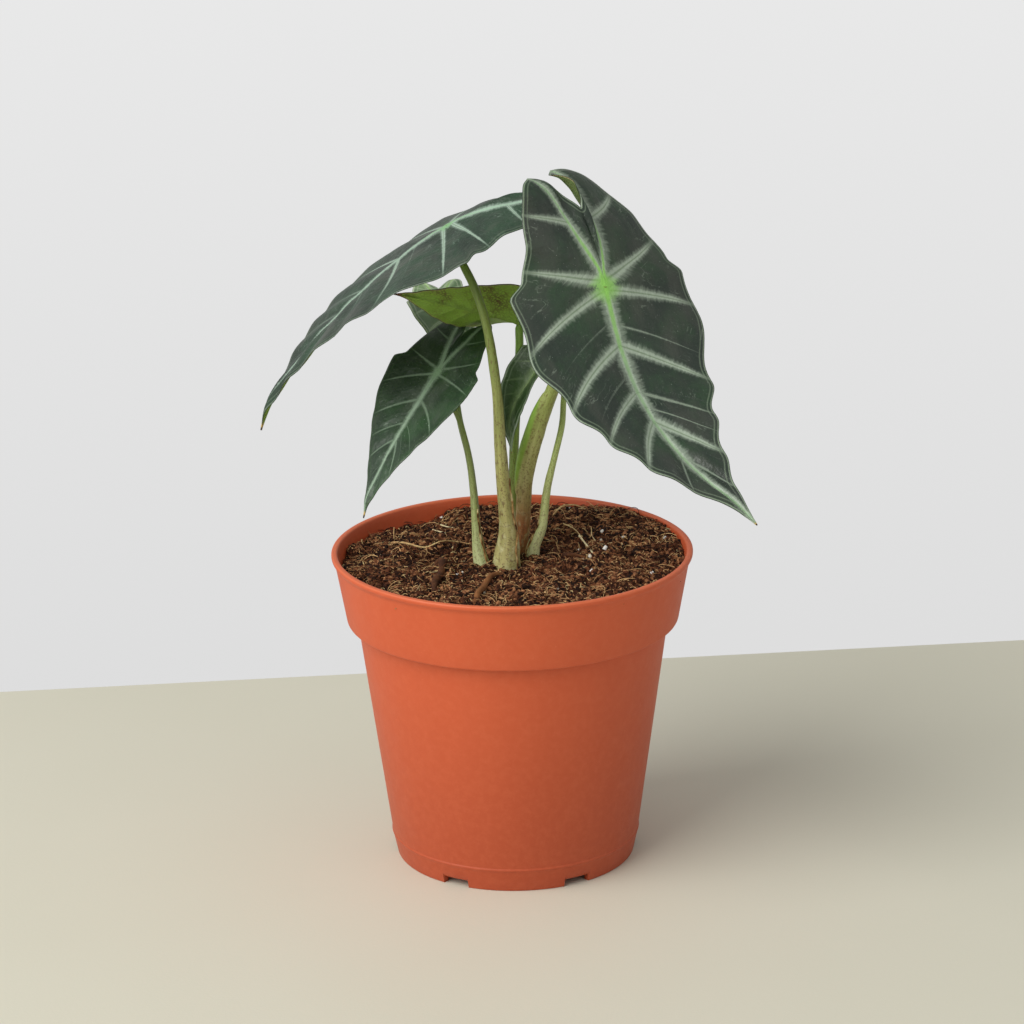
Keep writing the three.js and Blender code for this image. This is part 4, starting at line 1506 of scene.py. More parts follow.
    def build(self) -> None:
        """Makes the blade and dresses it."""
        pattern = LeafPattern(self.scallop)
        flat, station, share, faces = self.net(pattern)
        marks = self.marks(pattern, flat)
        lift, rise, drop = self.relief(flat, station, share, marks)
        along, aside = flat[:, 0], flat[:, 1]
        face = self.faced(along, aside)
        middle = self.bent(along, aside) + face * lift[:, None]
        upper = middle + face * rise[:, None]
        lower = middle - face * drop[:, None]
        count = len(flat)
        under = [[corner + count for corner in reversed(corners)] for corners in faces]
        walls = [[b, a, a + count, b + count] for a, b in open_edges(faces)]
        slots = np.concatenate([np.zeros(len(faces)), np.ones(len(under)),
                                np.zeros(len(walls))])
        values = {key: np.concatenate([value, value]) for key, value in marks.items()}
        shell = Shell(np.vstack([upper, lower]), faces + under + walls, values, slots)
        skins = [self.finish.upper(self.name), self.finish.lower(self.name)]
        piece = shell.build(f"leaf_{self.name}", skins)
        dress(piece, Slot.BLADE, f"blade_{self.name}")


# -------------------- petioles


@dataclass(frozen=True)
class StalkFinish:
    """The colours of one petiole from its foot to its top."""

    foot: tuple = (196, 192, 140)
    low: tuple = (160, 160, 92)
    high: tuple = (120, 134, 66)
    top: tuple = (92, 116, 46)
    speckle: tuple = (104, 72, 48)
    # The pale tint of the painted highlight patches near the foot.
    painted_foot_highlight: tuple = (228, 228, 180)
    speckled: float = 0.5

    def material(self, name: str) -> bpy.types.Material:
        """Makes the smooth speckled skin with fine lengthwise streaks and painted highlights near
        the foot.

        Args:
            name: The petiole's name.

        Returns:
            The material.
        """
        book = Book(f"stalk_{name}")
        share = book.value("share")
        cloud = book.noise(book.place("round", (1.0, 1.0, 0.3)), 210.0, 3.0)
        stops = [(0.0, self.foot), (0.16, self.foot), (0.34, self.low), (0.62, self.high),
                 (0.97, self.top)]
        colour = book.ramp(share + (cloud - 0.5) * 0.16, stops)
        lines = book.noise(book.place("round", (1.0, 1.0, 0.05)), 1300.0, 2.0)
        colour = book.mix(lines.between(0.35, 0.75) * 0.4, colour, self.high, "MULTIPLY")
        spots = book.noise(book.place("round", (1.0, 1.0, 0.45)), 1050.0, 2.0, 0.5)
        spots = spots.between(0.6, 0.68) * share.between(1.0, 0.7)
        colour = book.mix(spots * self.speckled, colour, self.speckle)
        dots = book.noise(book.place("round", (1.0, 1.0, 0.7)), 2300.0, 1.0).between(0.55, 0.66)
        colour = book.mix(dots * share.between(0.9, 0.3, 0.4) * 0.5, colour, self.speckle)
        # Painted highlight: pale whitish patches near the foot stand in for light glinting on the
        # glossy stalk.
        pale = book.noise(book.place("round", (1.0, 1.0, 0.5)), 620.0, 3.0).between(0.48, 0.68)
        colour = book.mix(pale * share.between(0.36, 0.08) * 0.55, colour, self.painted_foot_highlight)
        colour = book.mix(book.value("wing").between(0.28, 0.6) * 0.85, colour,
                          (138, 182, 68))
        grain = book.bump(lines, 0.00012)
        return book.finish(colour, 0.38, grain, {"Specular IOR Level": 0.5})


@dataclass
class Petiole:
    """One petiole: a stalk, thick at its foot, that ends under its blade's junction."""

    name: str
    path: tuple
    radius: tuple
    neck: float
    finish: StalkFinish
    sides: int = 36
    step: float = 0.9
    wing: tuple | None = None
    wing_direction: tuple = (-1.0, -0.35, 0.2)
    seam: tuple | None = None

    def widths(self, share: Array) -> Array:
        """The radius at fractions of the length.

        Args:
            share: The fractions.

        Returns:
            The radii, in millimetres.
        """
        foot, low, middle, top = self.radius
        swollen = foot + (low - foot) * np.sin(
            np.pi / 2 * np.clip(share / self.neck, 0, 1)) ** 2
        rising = low + (middle - low) * (share - self.neck) / (0.55 - self.neck)
        upper = middle + (top - middle) * (share - 0.55) / 0.45
        width = np.where(share < self.neck, swollen, np.where(share < 0.55, rising, upper))
        return width * (1 - 0.45 * smoothstep(share, 0.975, 1.0))

    def build(self) -> None:
        """Makes the petiole and dresses it."""
        path = np.array(self.path, dtype=float)
        rough = centripetal(path, np.linspace(0, 1, 80))
        rows = int(curve_length(rough) / self.step)
        share = np.linspace(0, 1, rows)
        middle = centripetal(path, share)
        width = self.widths(share)
        out = rays(middle, self.sides)
        place = (middle[:, None] + out * width[:, None, None]).reshape(-1, 3)
        bumps = Grain(int(path[1, 0] * 10 + 500)).layers(place, 3.5, 2).reshape(rows, -1)
        flare = 0.035 * bumps * width[:, None]
        wing = np.zeros_like(flare)
        if self.wing:
            start, end, reach = self.wing
            along = np.clip((share - start) / (end - start), 0, 1)
            aim = np.array(self.wing_direction) / np.linalg.norm(self.wing_direction)
            towards = np.maximum(0, out @ aim) ** 8
            wing = towards * (np.sin(np.pi * along) ** 0.5)[:, None]
            flare = flare + reach * wing
        shell = tube(middle, width, self.sides, flare)
        shell.values["wing"] = np.append(wing.ravel(), [0, 0])
        piece = shell.build(f"stalk_{self.name}", [self.finish.material(self.name)])
        dress(piece, Slot.PETIOLE, f"petiole_{self.name}")
        if self.seam:
            self.sheath_edge(middle, width)

    def sheath_edge(self, middle: Array, width: Array) -> None:
        """Makes the dry papery edge of the sheath, which runs down the stalk's side.

        Args:
            middle: The stalk's middle line.
            width: Its radius at each place.
        """
        across, over = carried_frames(middle)
        start, end, first, last = self.seam
        rows = slice(int(start * len(middle)), int(end * len(middle)))
        along = np.linspace(0, 1, rows.stop - rows.start)
        turn = np.radians(first + (last - first) * along + 7 * np.sin(19 * along))
        out = np.cos(turn)[:, None] * across[rows] + np.sin(turn)[:, None] * over[rows]
        line = middle[rows] + out * (width[rows] + 0.08)[:, None]
        ragged = Grain(41).layers(line, 1.6, 2)
        shell = tube(line, np.clip(0.3 + 0.16 * ragged, 0.12, 0.5), 8)
        shell.values["tone"] = np.clip(0.5 + 0.6 * Grain(42).layers(shell.points, 1.3, 2), 0, 1)
        papery = MixFinish().loose(f"sheath_{self.name}", (92, 58, 34),
                                   (182, 146, 92), (232, 214, 164))
        dress(shell.build(f"sheath_edge_{self.name}", [papery]), Slot.PETIOLE)


# -------------------- potting mix


@dataclass(frozen=True)
class MixFinish:
    """The browns of the potting mix."""

    dark: tuple = (34, 19, 13)
    brown: tuple = (104, 62, 41)
    tan: tuple = (176, 124, 84)
    straw: tuple = (226, 198, 140)
    white: tuple = (232, 228, 216)
    patchy: float = 1.3

    def ground(self) -> bpy.types.Material:
        """Makes the mass of the mix, with painted shade in its hollows."""
        book = Book("mix_ground")
        place = book.place()
        clumps = book.noise(place, 260.0, 5.0, 0.7)
        colour = book.ramp(clumps, [(0.36, self.dark), (0.58, self.brown), (0.76, self.tan)])
        # Painted shade: the mix turns near black where it sinks below its plain surface.
        hollow_shade = book.value("hollow_shade")
        colour = book.mix(hollow_shade.between(0.0, 1.0) * 0.8, colour, (20, 11, 8))
        rough = book.bump(book.noise(place, 900.0, 4.0, 0.7), 0.0009)
        return book.finish(colour, 0.95, rough, {"Specular IOR Level": 0.15})

    def loose(self, name: str, low: tuple, middle: tuple, high: tuple) -> bpy.types.Material:
        """Makes the look of loose bits, each of its own tone.

        Args:
            name: The material's name.
            low: The darkest colour.
            middle: The middle one.
            high: The palest one.

        Returns:
            The material.
        """
        book = Book(f"mix_{name}")
        speckle = book.noise(book.place(), 1800.0, 2.0) - 0.5
        patch = book.noise(book.place(), 170.0, 3.0, 0.65) - 0.5
        colour = book.ramp(book.value("tone") + speckle * 0.25 + patch * self.patchy,
                           [(0.0, low), (0.3, low), (0.64, middle), (1.0, high)])
        grain = book.bump(book.noise(book.place(), 2500.0, 2.0), 0.0002)
        return book.finish(colour, 0.85, grain, {"Specular IOR Level": 0.2})


class Tree:
    """A Geometry Nodes tree that is written from the script."""

    def __init__(self, name: str, sizes: dict) -> None:
        """Starts the tree.

        Args:
            name: The tree's name.
            sizes: The named inputs and their values.
        """
        self.tree = bpy.data.node_groups.new(name, "GeometryNodeTree")
        face = self.tree.interface
        face.new_socket("Geometry", in_out="INPUT", socket_type="NodeSocketGeometry")
        self.sizes = dict(sizes)
        for key, value in sizes.items():
            kind = "NodeSocketInt" if isinstance(value, int) else "NodeSocketFloat"
            face.new_socket(key, in_out="INPUT", socket_type=kind)
        face.new_socket("Geometry", in_out="OUTPUT", socket_type="NodeSocketGeometry")
        self.start = self.tree.nodes.new("NodeGroupInput")
        self.end = self.tree.nodes.new("NodeGroupOutput")

    def add(self, kind: str, settings: dict | None = None,
            values: dict | None = None) -> bpy.types.Node:
        """Adds one node.

        Args:
            kind: The node's type.
            settings: Its own settings, which are set first.
            values: Numbers or output sockets for its inputs, by name or identifier.

        Returns:
            The new node.
        """
        node = self.tree.nodes.new(kind)
        for key, value in (settings or {}).items():
            setattr(node, key, value)
        for key, value in (values or {}).items():
            socket = self.pick(node.inputs, key)
            for source in value if isinstance(value, list) else [value]:
                if isinstance(source, bpy.types.NodeSocket):
                    self.tree.links.new(source, socket)
                else:
                    socket.default_value = source
        return node

    @staticmethod
    def pick(sockets: object, key: str) -> bpy.types.NodeSocket:
        """Finds a socket by its identifier, or else by its name."""
        for socket in sockets:
            if socket.identifier == key:
                return socket
        return sockets[key]

    def run(self, host: bpy.types.Object, name: str, result: bpy.types.NodeSocket,
            ) -> bpy.types.Object:
        """Runs the tree on an object and keeps what it makes as a plain mesh.

        Args:
            host: The object whose surface the tree works on. It is removed.
            name: The new object's name.
            result: The geometry that the tree ends in.

        Returns:
            The new object.
        """
        self.tree.links.new(result, self.end.inputs[0])
        modifier = host.modifiers.new(name, "NODES")
        modifier.node_group = self.tree
        for item in self.tree.interface.items_tree:
            if item.item_type == "SOCKET" and item.name in self.sizes:
                modifier[item.identifier] = self.sizes[item.name]
        mesh = bpy.data.meshes.new_from_object(
            host.evaluated_get(bpy.context.evaluated_depsgraph_get()))
        host.modifiers.clear()
        made = bpy.data.objects.new(name, mesh)
        bpy.context.scene.collection.objects.link(made)
        bpy.data.objects.remove(host)
        return made


class Scrap(Enum):
    """The shapes of loose bits on the mix."""

    FIBRE = "fibre"
    CRUMB = "crumb"
    FLAKE = "flake"


@dataclass
class Litter:
    """One kind of loose bit that lies all over the mix."""

    name: str
    shape: Scrap
    density: float
    size: float
    girth: float
    material: bpy.types.Material
    seed: int
    lean: float = 0.5
    lift: float = 0.0
    smallest: float = 0.5
    largest: float = 1.5

    def bit(self, tree: Tree) -> bpy.types.NodeSocket:
        """The one bit that is repeated.

        Args:
            tree: The tree that it is made in.

        Returns:
            The bit's mesh.
        """
        size, girth = (tree.start.outputs[key] for key in ("Size", "Girth"))
        if self.shape is Scrap.CRUMB:
            return tree.add("GeometryNodeMeshIcoSphere", None,
                            {"Radius": size, "Subdivisions": 1}).outputs["Mesh"]
        half, fibre = self.size * MM / 2, self.shape is Scrap.FIBRE
        curve = tree.add("GeometryNodeCurveQuadraticBezier", None, {
            "Resolution": 5 if fibre else 2,
            "Start": (-half, 0, 0), "Middle": (half * 0.2, half * 0.9, half * self.lift),
            "End": (half, -half * 0.15, half * 0.12)})
        ring = tree.add("GeometryNodeCurvePrimitiveCircle", None,
                        {"Resolution": 3 if fibre else 4, "Radius": girth})
        body = tree.add("GeometryNodeCurveToMesh", None, {
            "Curve": curve.outputs["Curve"], "Profile Curve": ring.outputs["Curve"],
            "Fill Caps": True})
        return body.outputs["Mesh"]

    def build(self, host: bpy.types.Object) -> bpy.types.Object:
        """Scatters the bits over a copy of the mix's surface.

        Args:
            host: The surface, which is used up.

        Returns:
            The bits as one mesh.
        """
        tree = Tree(f"scatter_{self.name}", {
            "Density": self.density * 1e6, "Size": self.size * MM, "Girth": self.girth * MM,
            "Seed": self.seed, "Lean": self.lean})
        given = tree.start.outputs
        spread = tree.add("GeometryNodeDistributePointsOnFaces", {"distribute_method": "RANDOM"},
                          {"Mesh": given["Geometry"], "Density": given["Density"],
                           "Seed": given["Seed"]})
        lean = tree.add("ShaderNodeCombineXYZ", None, {"X": given["Lean"], "Y": given["Lean"],
                                                      "Z": math.pi})
        back = tree.add("ShaderNodeVectorMath", {"operation": "MULTIPLY"},
                        {0: lean.outputs[0], 1: (-1, -1, -1)})
        angles = tree.add("FunctionNodeRandomValue", {"data_type": "FLOAT_VECTOR"}, {
            "Min": back.outputs[0], "Max": lean.outputs[0], "Seed": given["Seed"]})
        turn = tree.add("FunctionNodeEulerToRotation", None,
                        {"Euler": angles.outputs["Value"]})
        turned = tree.add("FunctionNodeRotateRotation", {"rotation_space": "LOCAL"}, {
            "Rotation": spread.outputs["Rotation"], "Rotate By": turn.outputs[0]})
        low, high = self.smallest, self.largest
        stretch = tree.add("FunctionNodeRandomValue", {"data_type": "FLOAT_VECTOR"}, {
            "Min": (low, low, low), "Max": (high, high, high), "Seed": self.seed + 7})
        copies = tree.add("GeometryNodeInstanceOnPoints", None, {
            "Points": spread.outputs["Points"], "Instance": self.bit(tree),
            "Rotation": turned.outputs[0], "Scale": stretch.outputs["Value"]})
        tone = tree.add("FunctionNodeRandomValue", {"data_type": "FLOAT"},
                        {"Min_001": 0.0, "Max_001": 1.0, "Seed": self.seed + 3})
        marked = tree.add("GeometryNodeStoreNamedAttribute",
                          {"data_type": "FLOAT", "domain": "INSTANCE"},
                          {"Geometry": copies.outputs[0], "Name": "tone",
                           "Value": tree.pick(tone.outputs, "Value_001")})
        real = tree.add("GeometryNodeRealizeInstances", None,
                        {"Geometry": marked.outputs[0]})
        clad = tree.add("GeometryNodeSetMaterial", None,
                        {"Geometry": real.outputs[0], "Material": self.material})
        piece = tree.run(host, f"mix_{self.name}", clad.outputs[0])
        dress(piece, Slot.MIX)
        return piece


@dataclass
class Strand:
    """One root or long fibre that lies on the mix, by its places seen from above."""

    places: tuple
    girth: float
    tone: float
    heights: tuple
    taper: float = 0.5

    def shell(self, height_at: object) -> Shell:
        """The strand's tube, laid on the surface that height_at gives.

        Args:
            height_at: Gives the height of the surface at x and y.

        Returns:
            The tube.
        """
        flat = np.array(self.places, dtype=float)
        path = np.c_[flat, height_at(flat[:, 0], flat[:, 1]) + np.array(self.heights)]
        rows = max(10, int(curve_length(path) / 0.5))
        share = np.linspace(0, 1, rows)
        middle = centripetal(path, share)
        knots = Grain(int(self.girth * 100) + len(path)).layers(middle, 2.2, 2)
        width = self.girth * (1 - self.taper * share) * (1 + 0.22 * knots)
        shell = tube(middle, width, 10)
        shell.values["tone"] = np.full(len(shell.points), self.tone)
        return shell


def joined(shells: list) -> Shell:
    """Puts several shells into one.

    Args:
        shells: The shells, each with its tone.

    Returns:
        The one shell.
    """
    points, faces, tones, count = [], [], [], 0
    for shell in shells:
        points.append(shell.points)
        faces += [[corner + count for corner in face] for face in shell.faces]
        tones.append(shell.values["tone"])
        count += len(shell.points)
    return Shell(np.vstack(points), faces, {"tone": np.concatenate(tones)})


# The brown roots that lie on the mix: places, girth, tone, heights and taper.
ROOTS = (
    Strand(((-4.4, -14.4), (-6.4, -18.5), (-8.6, -26), (-10.3, -33.4), (-11.1, -39.3)), 0.95, 0.75,
        (0.2, 1.6, 1.7, 1.2, -0.4), 0.1),
    Strand(((-23, -4.2), (-21.3, -7.5), (-21.6, -14), (-23.2, -19), (-23.5, -25.6)), 1.25, 0.35,
        (0.2, 1.2, 1.0, 1.1, 0.0), 0.25),
    Strand(((-12.9, 3.2), (-15, -4.6), (-15.6, -10.2)), 0.5, 0.45, (0.6, 1.0, 0.2), 0.4),
    Strand(((-20.5, 35.5), (-17.5, 36.5), (-14, 38.3)), 0.45, 0.4, (0.4, 1.6, 2.2), 0.3),
    Strand(((15.5, 0.5), (19, -0.4), (22.5, -0.9)), 0.7, 0.4, (0.3, 0.8, 0.2), 0.3),
)

# The straw-coloured fibres that lie on it.
PALE_STRANDS = (
    Strand(((-38.5, 20.8), (-33.5, 16.8), (-26.8, 14.2), (-21.9, 13.6), (-17.6, 17.1),
        (-12.7, 16.1)), 0.34, 0.5, (0.2, 0.8, 0.9, 0.8, 1.0, 0.8)),
    Strand(((-24.8, 33.5), (-22.6, 31.2), (-20.6, 27.8)), 0.3, 1.0, (0.6, 1.0, 0.4)),
    Strand(((-22.3, 37), (-20.2, 35.2), (-18, 32.8)), 0.26, 0.9, (0.8, 1.1, 0.5)),
    Strand(((20.7, 13.6), (22.7, 9.6), (24.4, 4.4), (25.2, -0.6)), 0.36, 1.1,
        (0.7, 1.0, 0.9, 0.2)),
    Strand(((16, 25), (18.9, 20.3), (21, 14), (22.7, 9.5)), 0.22, 0.7, (0.5, 0.9, 0.9, 0.5)),
    Strand(((24.7, 25), (24.6, 19.4), (24.9, 14.4), (27.3, 11.6), (31, 10.4)), 0.2, 0.8,
        (0.5, 1.1, 1.1, 0.9, 0.4)),
    Strand(((13, 35.2), (15.5, 34.8), (20, 36), (24.5, 35.5)), 0.3, 0.5, (0.5, 2.6, 2.8, 0.6)),
    Strand(((-46, 9.2), (-45.5, 1.8), (-44, -7)), 0.2, 0.55, (0.6, 1.1, 0.4)),
    Strand(((-36.5, 22.8), (-36.6, 21.9), (-36.4, 21.2)), 0.18, 0.7, (4.2, 2.0, 0.0)),
)


@dataclass
class PottingMix:
    """The coir and peat mix: its mass, its loose bits and the roots that lie on it."""

    pot: Pot
    top: float = 92.2
    mound: float = 0.6
    heap_centre: tuple = (30.0, 28.0)
    heap_spread: float = 33.0
    heap_rise: float = 5.2
    lumps: tuple = ((5, 0.4, 0.55), (8, 2.1, 0.4), (13, 4.0, 0.3))
    hollows: tuple = ((-20.5, 3.5, 4.2, 4.6), (19.5, 8.0, 3.2, 1.6), (2.0, -19.0, 3.5, 1.2))
    white_bits: tuple = ((27.5, 18.0, 0.55), (28.1, 4.2, 0.7), (46.7, 12.0, 0.4),
                         (41.7, -14.4, 0.45), (-17.0, -12.6, 0.35), (23.4, -12.9, 0.35))
    rings: int = 92
    spokes: int = 400
    surface_grid: tuple = (60, 180)
    gap: float = 0.3
    below_lip: float = 1.6

    def plain_height(self, x: Array, y: Array) -> Array:
        """The mix's height without its clumps.

        Args:
            x: Places to the right of the axis.
            y: Places behind it.

        Returns:
            The heights, in millimetres.
        """
        reach = np.hypot(x, y) / self.pot.band_top
        turn = np.arctan2(y, x)
        from_heap = np.hypot(x - self.heap_centre[0], y - self.heap_centre[1])
        heaped = self.heap_rise * np.exp(-(from_heap / self.heap_spread) ** 2)
        height = self.top + self.mound * (1 - reach ** 2) + heaped * np.minimum(1, reach)
        for waves, shift, rise in self.lumps:
            height = height + (rise * np.sin(waves * turn + shift + 5 * reach)
                               * np.minimum(1, 2 * reach))
        return height

    def clumped_height(self, x: Array, y: Array) -> Array:
        """The mix's height with its clumps, crumbs and hollows.

        Args:
            x: Places to the right of the axis.
            y: Places behind it.

        Returns:
            The heights, in millimetres.
        """
        x, y = np.asarray(x, dtype=float), np.asarray(y, dtype=float)
        place = np.stack([x, y, np.zeros_like(x)], -1).reshape(-1, 3)
        clumps = Grain(11).layers(place, 7.0, 3, 0.6).reshape(x.shape)
        crumbs = Grain(12).layers(place, 1.7, 3, 0.6).reshape(x.shape)
        ragged = np.abs(Grain(13).layers(place, 3.2, 2).reshape(x.shape))
        height = self.plain_height(x, y) + 0.95 * clumps + 0.5 * crumbs - 0.9 * ragged + 0.4
        for hx, hy, radius, depth in self.hollows:
            distance = np.hypot((x - hx) / 1.5, y - hy) / radius
            height = height - depth * np.exp(-distance ** 2)
        limit = self.pot.height - self.below_lip
        return np.where(height > limit, limit + np.tanh((height - limit) / 1.2), height)

    def top_grid(self, rings: int, spokes: int) -> Array:
        """Places all over the surface, ring by ring from the wall to the middle.

        Args:
            rings: How many rings.
            spokes: How many places a ring has.

        Returns:
            The places, a row for each ring.
        """
        turn = circle(spokes)
        level = self.pot.band_inside(self.top) - self.gap
        wall = self.pot.band_inside(self.clumped_height(
            level * np.cos(turn), level * np.sin(turn))) - self.gap
        reach = wall * (np.linspace(1, 0, rings, endpoint=False) ** 0.93)[:, None]
        x, y = reach * np.cos(turn), reach * np.sin(turn)
        return np.stack([x, y, self.clumped_height(x, y)], -1)

    def mass(self) -> None:
        """Makes the block of mix that fills the pot."""
        pot = self.pot
        floor_top = pot.floor_z + pot.floor_thickness + self.gap
        ledge = pot.band_foot_z + pot.wall + self.gap
        side = [(pot.foot_radius - 2 - self.gap, floor_top),
                (pot.body_radius(floor_top + 2) - pot.wall - self.gap, floor_top + 2),
                (pot.body_radius(ledge) - pot.wall - self.gap, ledge),
                (pot.band_inside(ledge) - self.gap, ledge)]
        turn = circle(self.spokes)
        rows = [np.stack([radius * np.cos(turn), radius * np.sin(turn),
                          np.full(self.spokes, height)], -1) for radius, height in side]
        grid = np.vstack([np.array(rows), self.top_grid(self.rings, self.spokes)])
        centre = self.clumped_height(np.array([0.0]), np.array([0.0]))[0]
        points = np.vstack([grid.reshape(-1, 3), [[0, 0, floor_top]], [[0, 0, centre]]])
        plain = self.plain_height(points[:, 0], points[:, 1])
        # How far each place sinks below the plain surface, for the painted shade in the hollows.
        hollow_shade = smoothstep(plain - points[:, 2], 0.7, 3.0)
        shell = Shell(points, capped_faces(len(grid), self.spokes), {"hollow_shade": hollow_shade})
        dress(shell.build("mix_mass", [MixFinish().ground()]), Slot.MIX, "soil")

    def surface(self) -> bpy.types.Object:
        """A plain copy of the surface for the loose bits to lie on."""
        faces = grid_faces(*self.surface_grid, wrap=True).tolist()
        points = self.top_grid(*self.surface_grid).reshape(-1, 3)
        return Shell(points, faces).build("mix_surface", [])

    def litter(self) -> None:
        """Scatters crumbs, fibres, flakes and white grains."""
        look = MixFinish()
        earth = look.loose("crumbs", look.dark, look.brown, look.tan)
        coir = look.loose("fibres", (50, 26, 16), (140, 86, 54),
                          (232, 192, 136))
        straw = look.loose("straw", look.tan, look.straw, (222, 204, 158))
        white = look.loose("grains", look.straw, look.white, (244, 242, 236))
        kinds = [
            Litter("crumbs", Scrap.CRUMB, 0.62, 0.62, 0.0, earth, 21, 3.1, smallest=0.4,
                   largest=1.7),
            Litter("fine_crumbs", Scrap.CRUMB, 0.9, 0.3, 0.0, coir, 22, 3.1, smallest=0.5,
                   largest=1.6),
            Litter("short_fibres", Scrap.FIBRE, 0.72, 2.1, 0.095, coir, 23, 0.75, 0.9),
            Litter("long_fibres", Scrap.FIBRE, 0.07, 5.6, 0.1, coir, 24, 0.4, 0.7),
            Litter("straw_fibres", Scrap.FIBRE, 0.05, 2.6, 0.11, straw, 25, 0.5, 0.8),
            Litter("flakes", Scrap.FLAKE, 0.09, 1.9, 0.34, earth, 26, 0.7, 0.3),
            Litter("white_grains", Scrap.CRUMB, 0.004, 0.75, 0.0, white, 27, 3.1,
                   smallest=0.4, largest=1.3),
        ]
        for kind in kinds:
            kind.build(self.surface())

    def strands(self) -> None:
        """Lays the roots and long fibres of the photograph on the mix."""
        look = MixFinish()
        root = look.loose("roots", (72, 44, 30), (128, 82, 50),
                          (160, 110, 66))
        pale = look.loose("pale_strands", look.tan, look.straw, (232, 218, 176))
        grains = look.loose("white_bits", look.straw, look.white, (250, 248, 244))
        white = [Strand(((x, y), (x + 0.7, y + 0.5)), girth, 0.9, (0.5, 0.6), 0.3)
                 for x, y, girth in self.white_bits]
        groups = (("brown_roots", ROOTS, root), ("pale_strands", PALE_STRANDS, pale),
                  ("white_bits", white, grains))
        for name, strands, material in groups:
            shell = joined([strand.shell(self.clumped_height) for strand in strands])
            dress(shell.build(f"mix_{name}", [material]), Slot.MIX)

    def build(self) -> None:
        """Makes everything that belongs to the mix."""
        self.mass()
        self.litter()
        self.strands()


# -------------------- the plant


# Name, path, radii from foot to top and end of the foot of each petiole, in millimetres.
PETIOLES = (
    Petiole("left_long", ((0.5, -4.5, 83), (-1.7, -5.2, 91.5), (-1, -6, 104), (-2, -7.5, 115),
        (-3, -10, 130.5), (-4, -11, 151), (-7, -10.5, 171.5), (-10, -8.5, 181), (-14.5, -5, 190),
        (-18, -1, 198.5)), (5.0, 2.2, 1.5, 1.1), 0.28, StalkFinish(foot=(194, 186, 124),
        low=(186, 182, 114), high=(144, 156, 84), top=(118, 150, 66), speckled=0.7),
        seam=(0.09, 0.34, -48, -18)),
    Petiole("right_large", ((0.5, 5, 83), (1.5, 5.5, 92), (3, 5, 100.5), (4.5, 3, 118.5),
        (8.5, -1.5, 135.5), (11.5, -5, 145.5), (17, -12, 161.5), (23.5, -19.5, 176.5),
        (28, -24, 185.5)), (2.5, 2.3, 2.1, 1.4), 0.2, StalkFinish(foot=(176, 116, 76),
        low=(194, 192, 130), high=(166, 180, 104), top=(134, 166, 72), speckled=0.5),
        wing=(0.27, 0.6, 2.2)),
    Petiole("lower_left", ((-11, -2.5, 83), (-9.2, -3.5, 91.5), (-10.3, -3.5, 98.5),
        (-11, -3.5, 106), (-11.5, -3, 115.5), (-13, -2.5, 129), (-15.5, -1.5, 139),
        (-18.5, -1, 145.5), (-21.5, -1, 153.5)), (3.2, 1.1, 0.9, 0.8), 0.36,
        StalkFinish(foot=(210, 218, 162), low=(196, 208, 140), high=(158, 178, 102),
        top=(136, 160, 84), speckled=0.45), sides=28, seam=(0.1, 0.4, -36, -30)),
    Petiole("back_turned", ((-1, 10, 83), (-0.5, 10, 91.5), (0.5, 10.5, 109.5), (1, 10, 125.5),
        (2, 9, 141.5), (3, 7.5, 157.5), (3, 6.5, 166.5)), (1.7, 1.5, 1.4, 1.2), 0.15,
        StalkFinish(foot=(164, 156, 102), low=(148, 166, 90), high=(134, 168, 76),
        top=(128, 168, 70), speckled=0.3), sides=28),
    Petiole("small_centre", ((5.5, 1.5, 83), (6, 2, 92), (6.5, 2, 97), (9, 2, 103), (11, 2.5, 116),
        (13.5, 2.5, 126.5), (15.5, 3, 135), (16, 3, 141.5), (16, 2.5, 148), (13.5, 2.5, 153),
        (10, 1.5, 155.5)), (2.7, 1.25, 1.0, 0.8), 0.4, StalkFinish(foot=(226, 230, 174),
        low=(212, 220, 152), high=(184, 202, 122), top=(164, 190, 108), speckled=0.2), sides=28,
        seam=(0.1, 0.36, -140, -156)),
    Petiole("back_left", ((-8, 4, 83), (-8.5, 4.5, 91), (-10.5, 6.5, 101), (-11.5, 11, 112.5),
        (-13, 15.5, 122.5), (-15.5, 19, 132.5), (-17.5, 24, 147), (-19.5, 28, 159.5),
        (-21, 30.5, 166)), (1.6, 1.2, 1.0, 0.8), 0.15, StalkFinish(foot=(160, 156, 102),
        low=(150, 164, 96), high=(134, 160, 82), top=(116, 148, 68), speckled=0.3), sides=24),
)

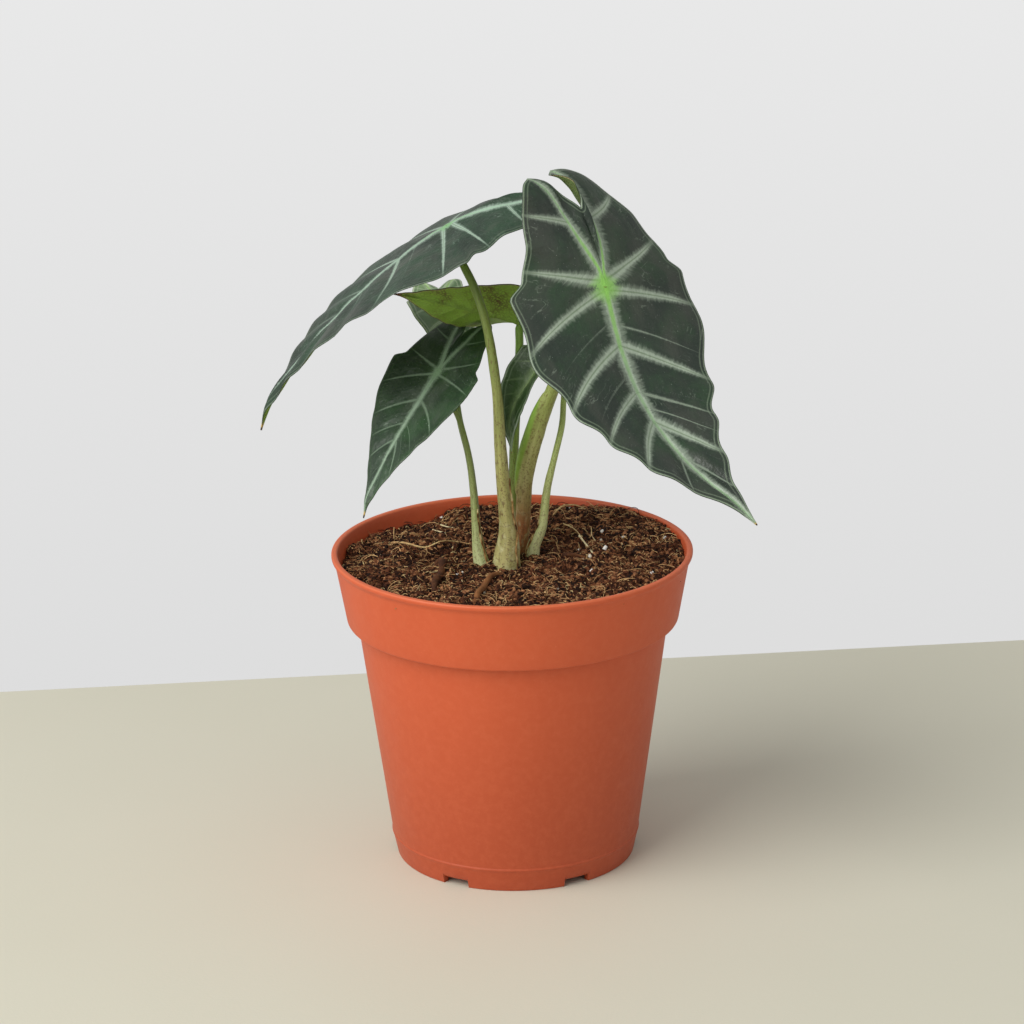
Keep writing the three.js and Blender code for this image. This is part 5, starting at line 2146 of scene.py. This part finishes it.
# Name, length, breadth, junction and bends of each blade, in millimetres and degrees.
BLADES = (
    Blade("left_long", 84, 1.13, (-18, -1, 198.5), (178, 186, 200, 170), (4, -30, -42, -71),
        (-2, 0, 9, -4), (-13, -11, 3, -3), (-11, -8, 0, 2), (-2, -5), (0, -7), (0, 0),
        LeafFinish(dark=(32, 50, 38), fresh=(38, 68, 46), painted_sheen=(76, 82, 72),
        silver=(168, 192, 174), core=(156, 188, 162), heart=(132, 180, 128), heart_reach=4.0,
        main_width=0.65, side_width=0.42, side_reach=22.0, rim=0.4)),
    Blade("right_large", 88, 1.13, (28, -24, 185.5), (-30, -58, -46, -42), (-42, -69, -43, -27),
        (3, -1, 7, 10), (0, -2, 14, 13), (-3, -2, 11, 9), (-7, -10), (-5, -3), (-7, 5),
        LeafFinish(under=(84, 104, 50)), sinus_shift=-0.036, dry_tip=0.012),
    Blade("lower_left", 50.5, 1.03, (-21.5, -1, 153.5), (232, 229, 223, 218), (-33, -40, -48, -73),
        (3, -7, 0, 9), (3, 2, 2, 2), (-3, 2, -2, -6), (9, 11), (-3.6, -1), (-1, 1),
        LeafFinish(dark=(38, 58, 40), fresh=(50, 80, 50), painted_sheen=(82, 94, 80),
        silver=(148, 172, 148), core=(146, 170, 146), heart=(128, 158, 124), margin=(84, 116, 66),
        heart_reach=4.0, main_width=0.62, side_width=0.32, side_strength=0.6, rim=0.3,
        roughness=0.44), rows_per_vein=18, columns=30, dry_tip=0.05, scallop=0.003, ripple=0.003),
    Blade("back_turned", 39.5, 1.05, (3, 6.5, 166.5), (183, 190, 190, 179), (20, 19, 17, 9),
        (46, 45, 57, 64), (30, 28, 3, -3), (29, 30, 3, 0), (-1, 0), (0, 0), (0, 0),
        LeafFinish(under=(146, 184, 72), tip=(110, 62, 36), under_dark=(104, 92, 46), rim=0.3),
        rows_per_vein=16, columns=26, dry_tip=0.08, scallop=0.006, ripple=0.005),
    Blade("small_centre", 31, 0.9, (10, 1.5, 155.5), (192, 181, 227, 315), (-46, -57, -49, -79),
        (-55, -45, -36, -4), (40, 40, 50, 30), (10, 7, 24, 13), (20, 15), (0, 0), (0, 0),
        LeafFinish(dark=(52, 78, 40), fresh=(66, 96, 52), painted_sheen=(80, 100, 72),
        silver=(134, 158, 112), core=(140, 164, 118), heart=(132, 160, 100), under=(136, 156, 88),
        under_dark=(104, 128, 62), main_width=1.3, side_width=0.35, side_strength=0.4, rim=0.9),
        rows_per_vein=14, columns=22, dry_tip=0.0, scallop=0.004, ripple=0.004),
    Blade("back_left", 31.5, 1.11, (-21, 30.5, 166), (267, 279, 295, 285), (-4, -27, -59, -82),
        (2, -3, -13, -7), (4, 6, 7, 8), (5, 7, 15, 12), (-12, 0), (1, 0), (2, 3),
        LeafFinish(dark=(92, 124, 82), fresh=(120, 158, 94), painted_sheen=(140, 164, 128),
        silver=(182, 204, 164), margin=(196, 210, 176), heart=(150, 196, 92), heart_reach=8.0,
        side_width=0.5, rim=0.9), rows_per_vein=14, columns=22, dry_tip=0.0, scallop=0.004,
        ripple=0.004),
)


@dataclass
class Plant:
    """The rhizome, the petioles and the blades."""

    petioles: tuple = PETIOLES
    blades: tuple = BLADES

    def rhizome(self) -> None:
        """Gives the buried rhizome its skin."""
        book = Book("rhizome_skin")
        skin = book.noise(book.place(stretch=(1.0, 1.0, 2.5)), 300.0, 4.0)
        colour = book.ramp(skin, [(0.3, (96, 70, 44)), (0.7, (164, 132, 88))])
        material = book.finish(colour, 0.9, book.bump(skin, 0.0008))
        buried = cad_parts["rhizome"]
        buried.material_slots[0].material = material

    def build(self) -> None:
        """Makes the whole plant."""
        self.rhizome()
        for piece in self.petioles + self.blades:
            piece.build()


def report_size() -> None:
    """Updates the view layer."""
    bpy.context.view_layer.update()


def main() -> None:
    """Builds the scene, piece by piece."""
    logging.basicConfig(level=logging.INFO, format="%(message)s")
    Studio().build()
    pot = Pot()
    pot.build()
    PottingMix(pot).build()
    Plant().build()
    report_size()


if __name__ == "__main__":
    main()
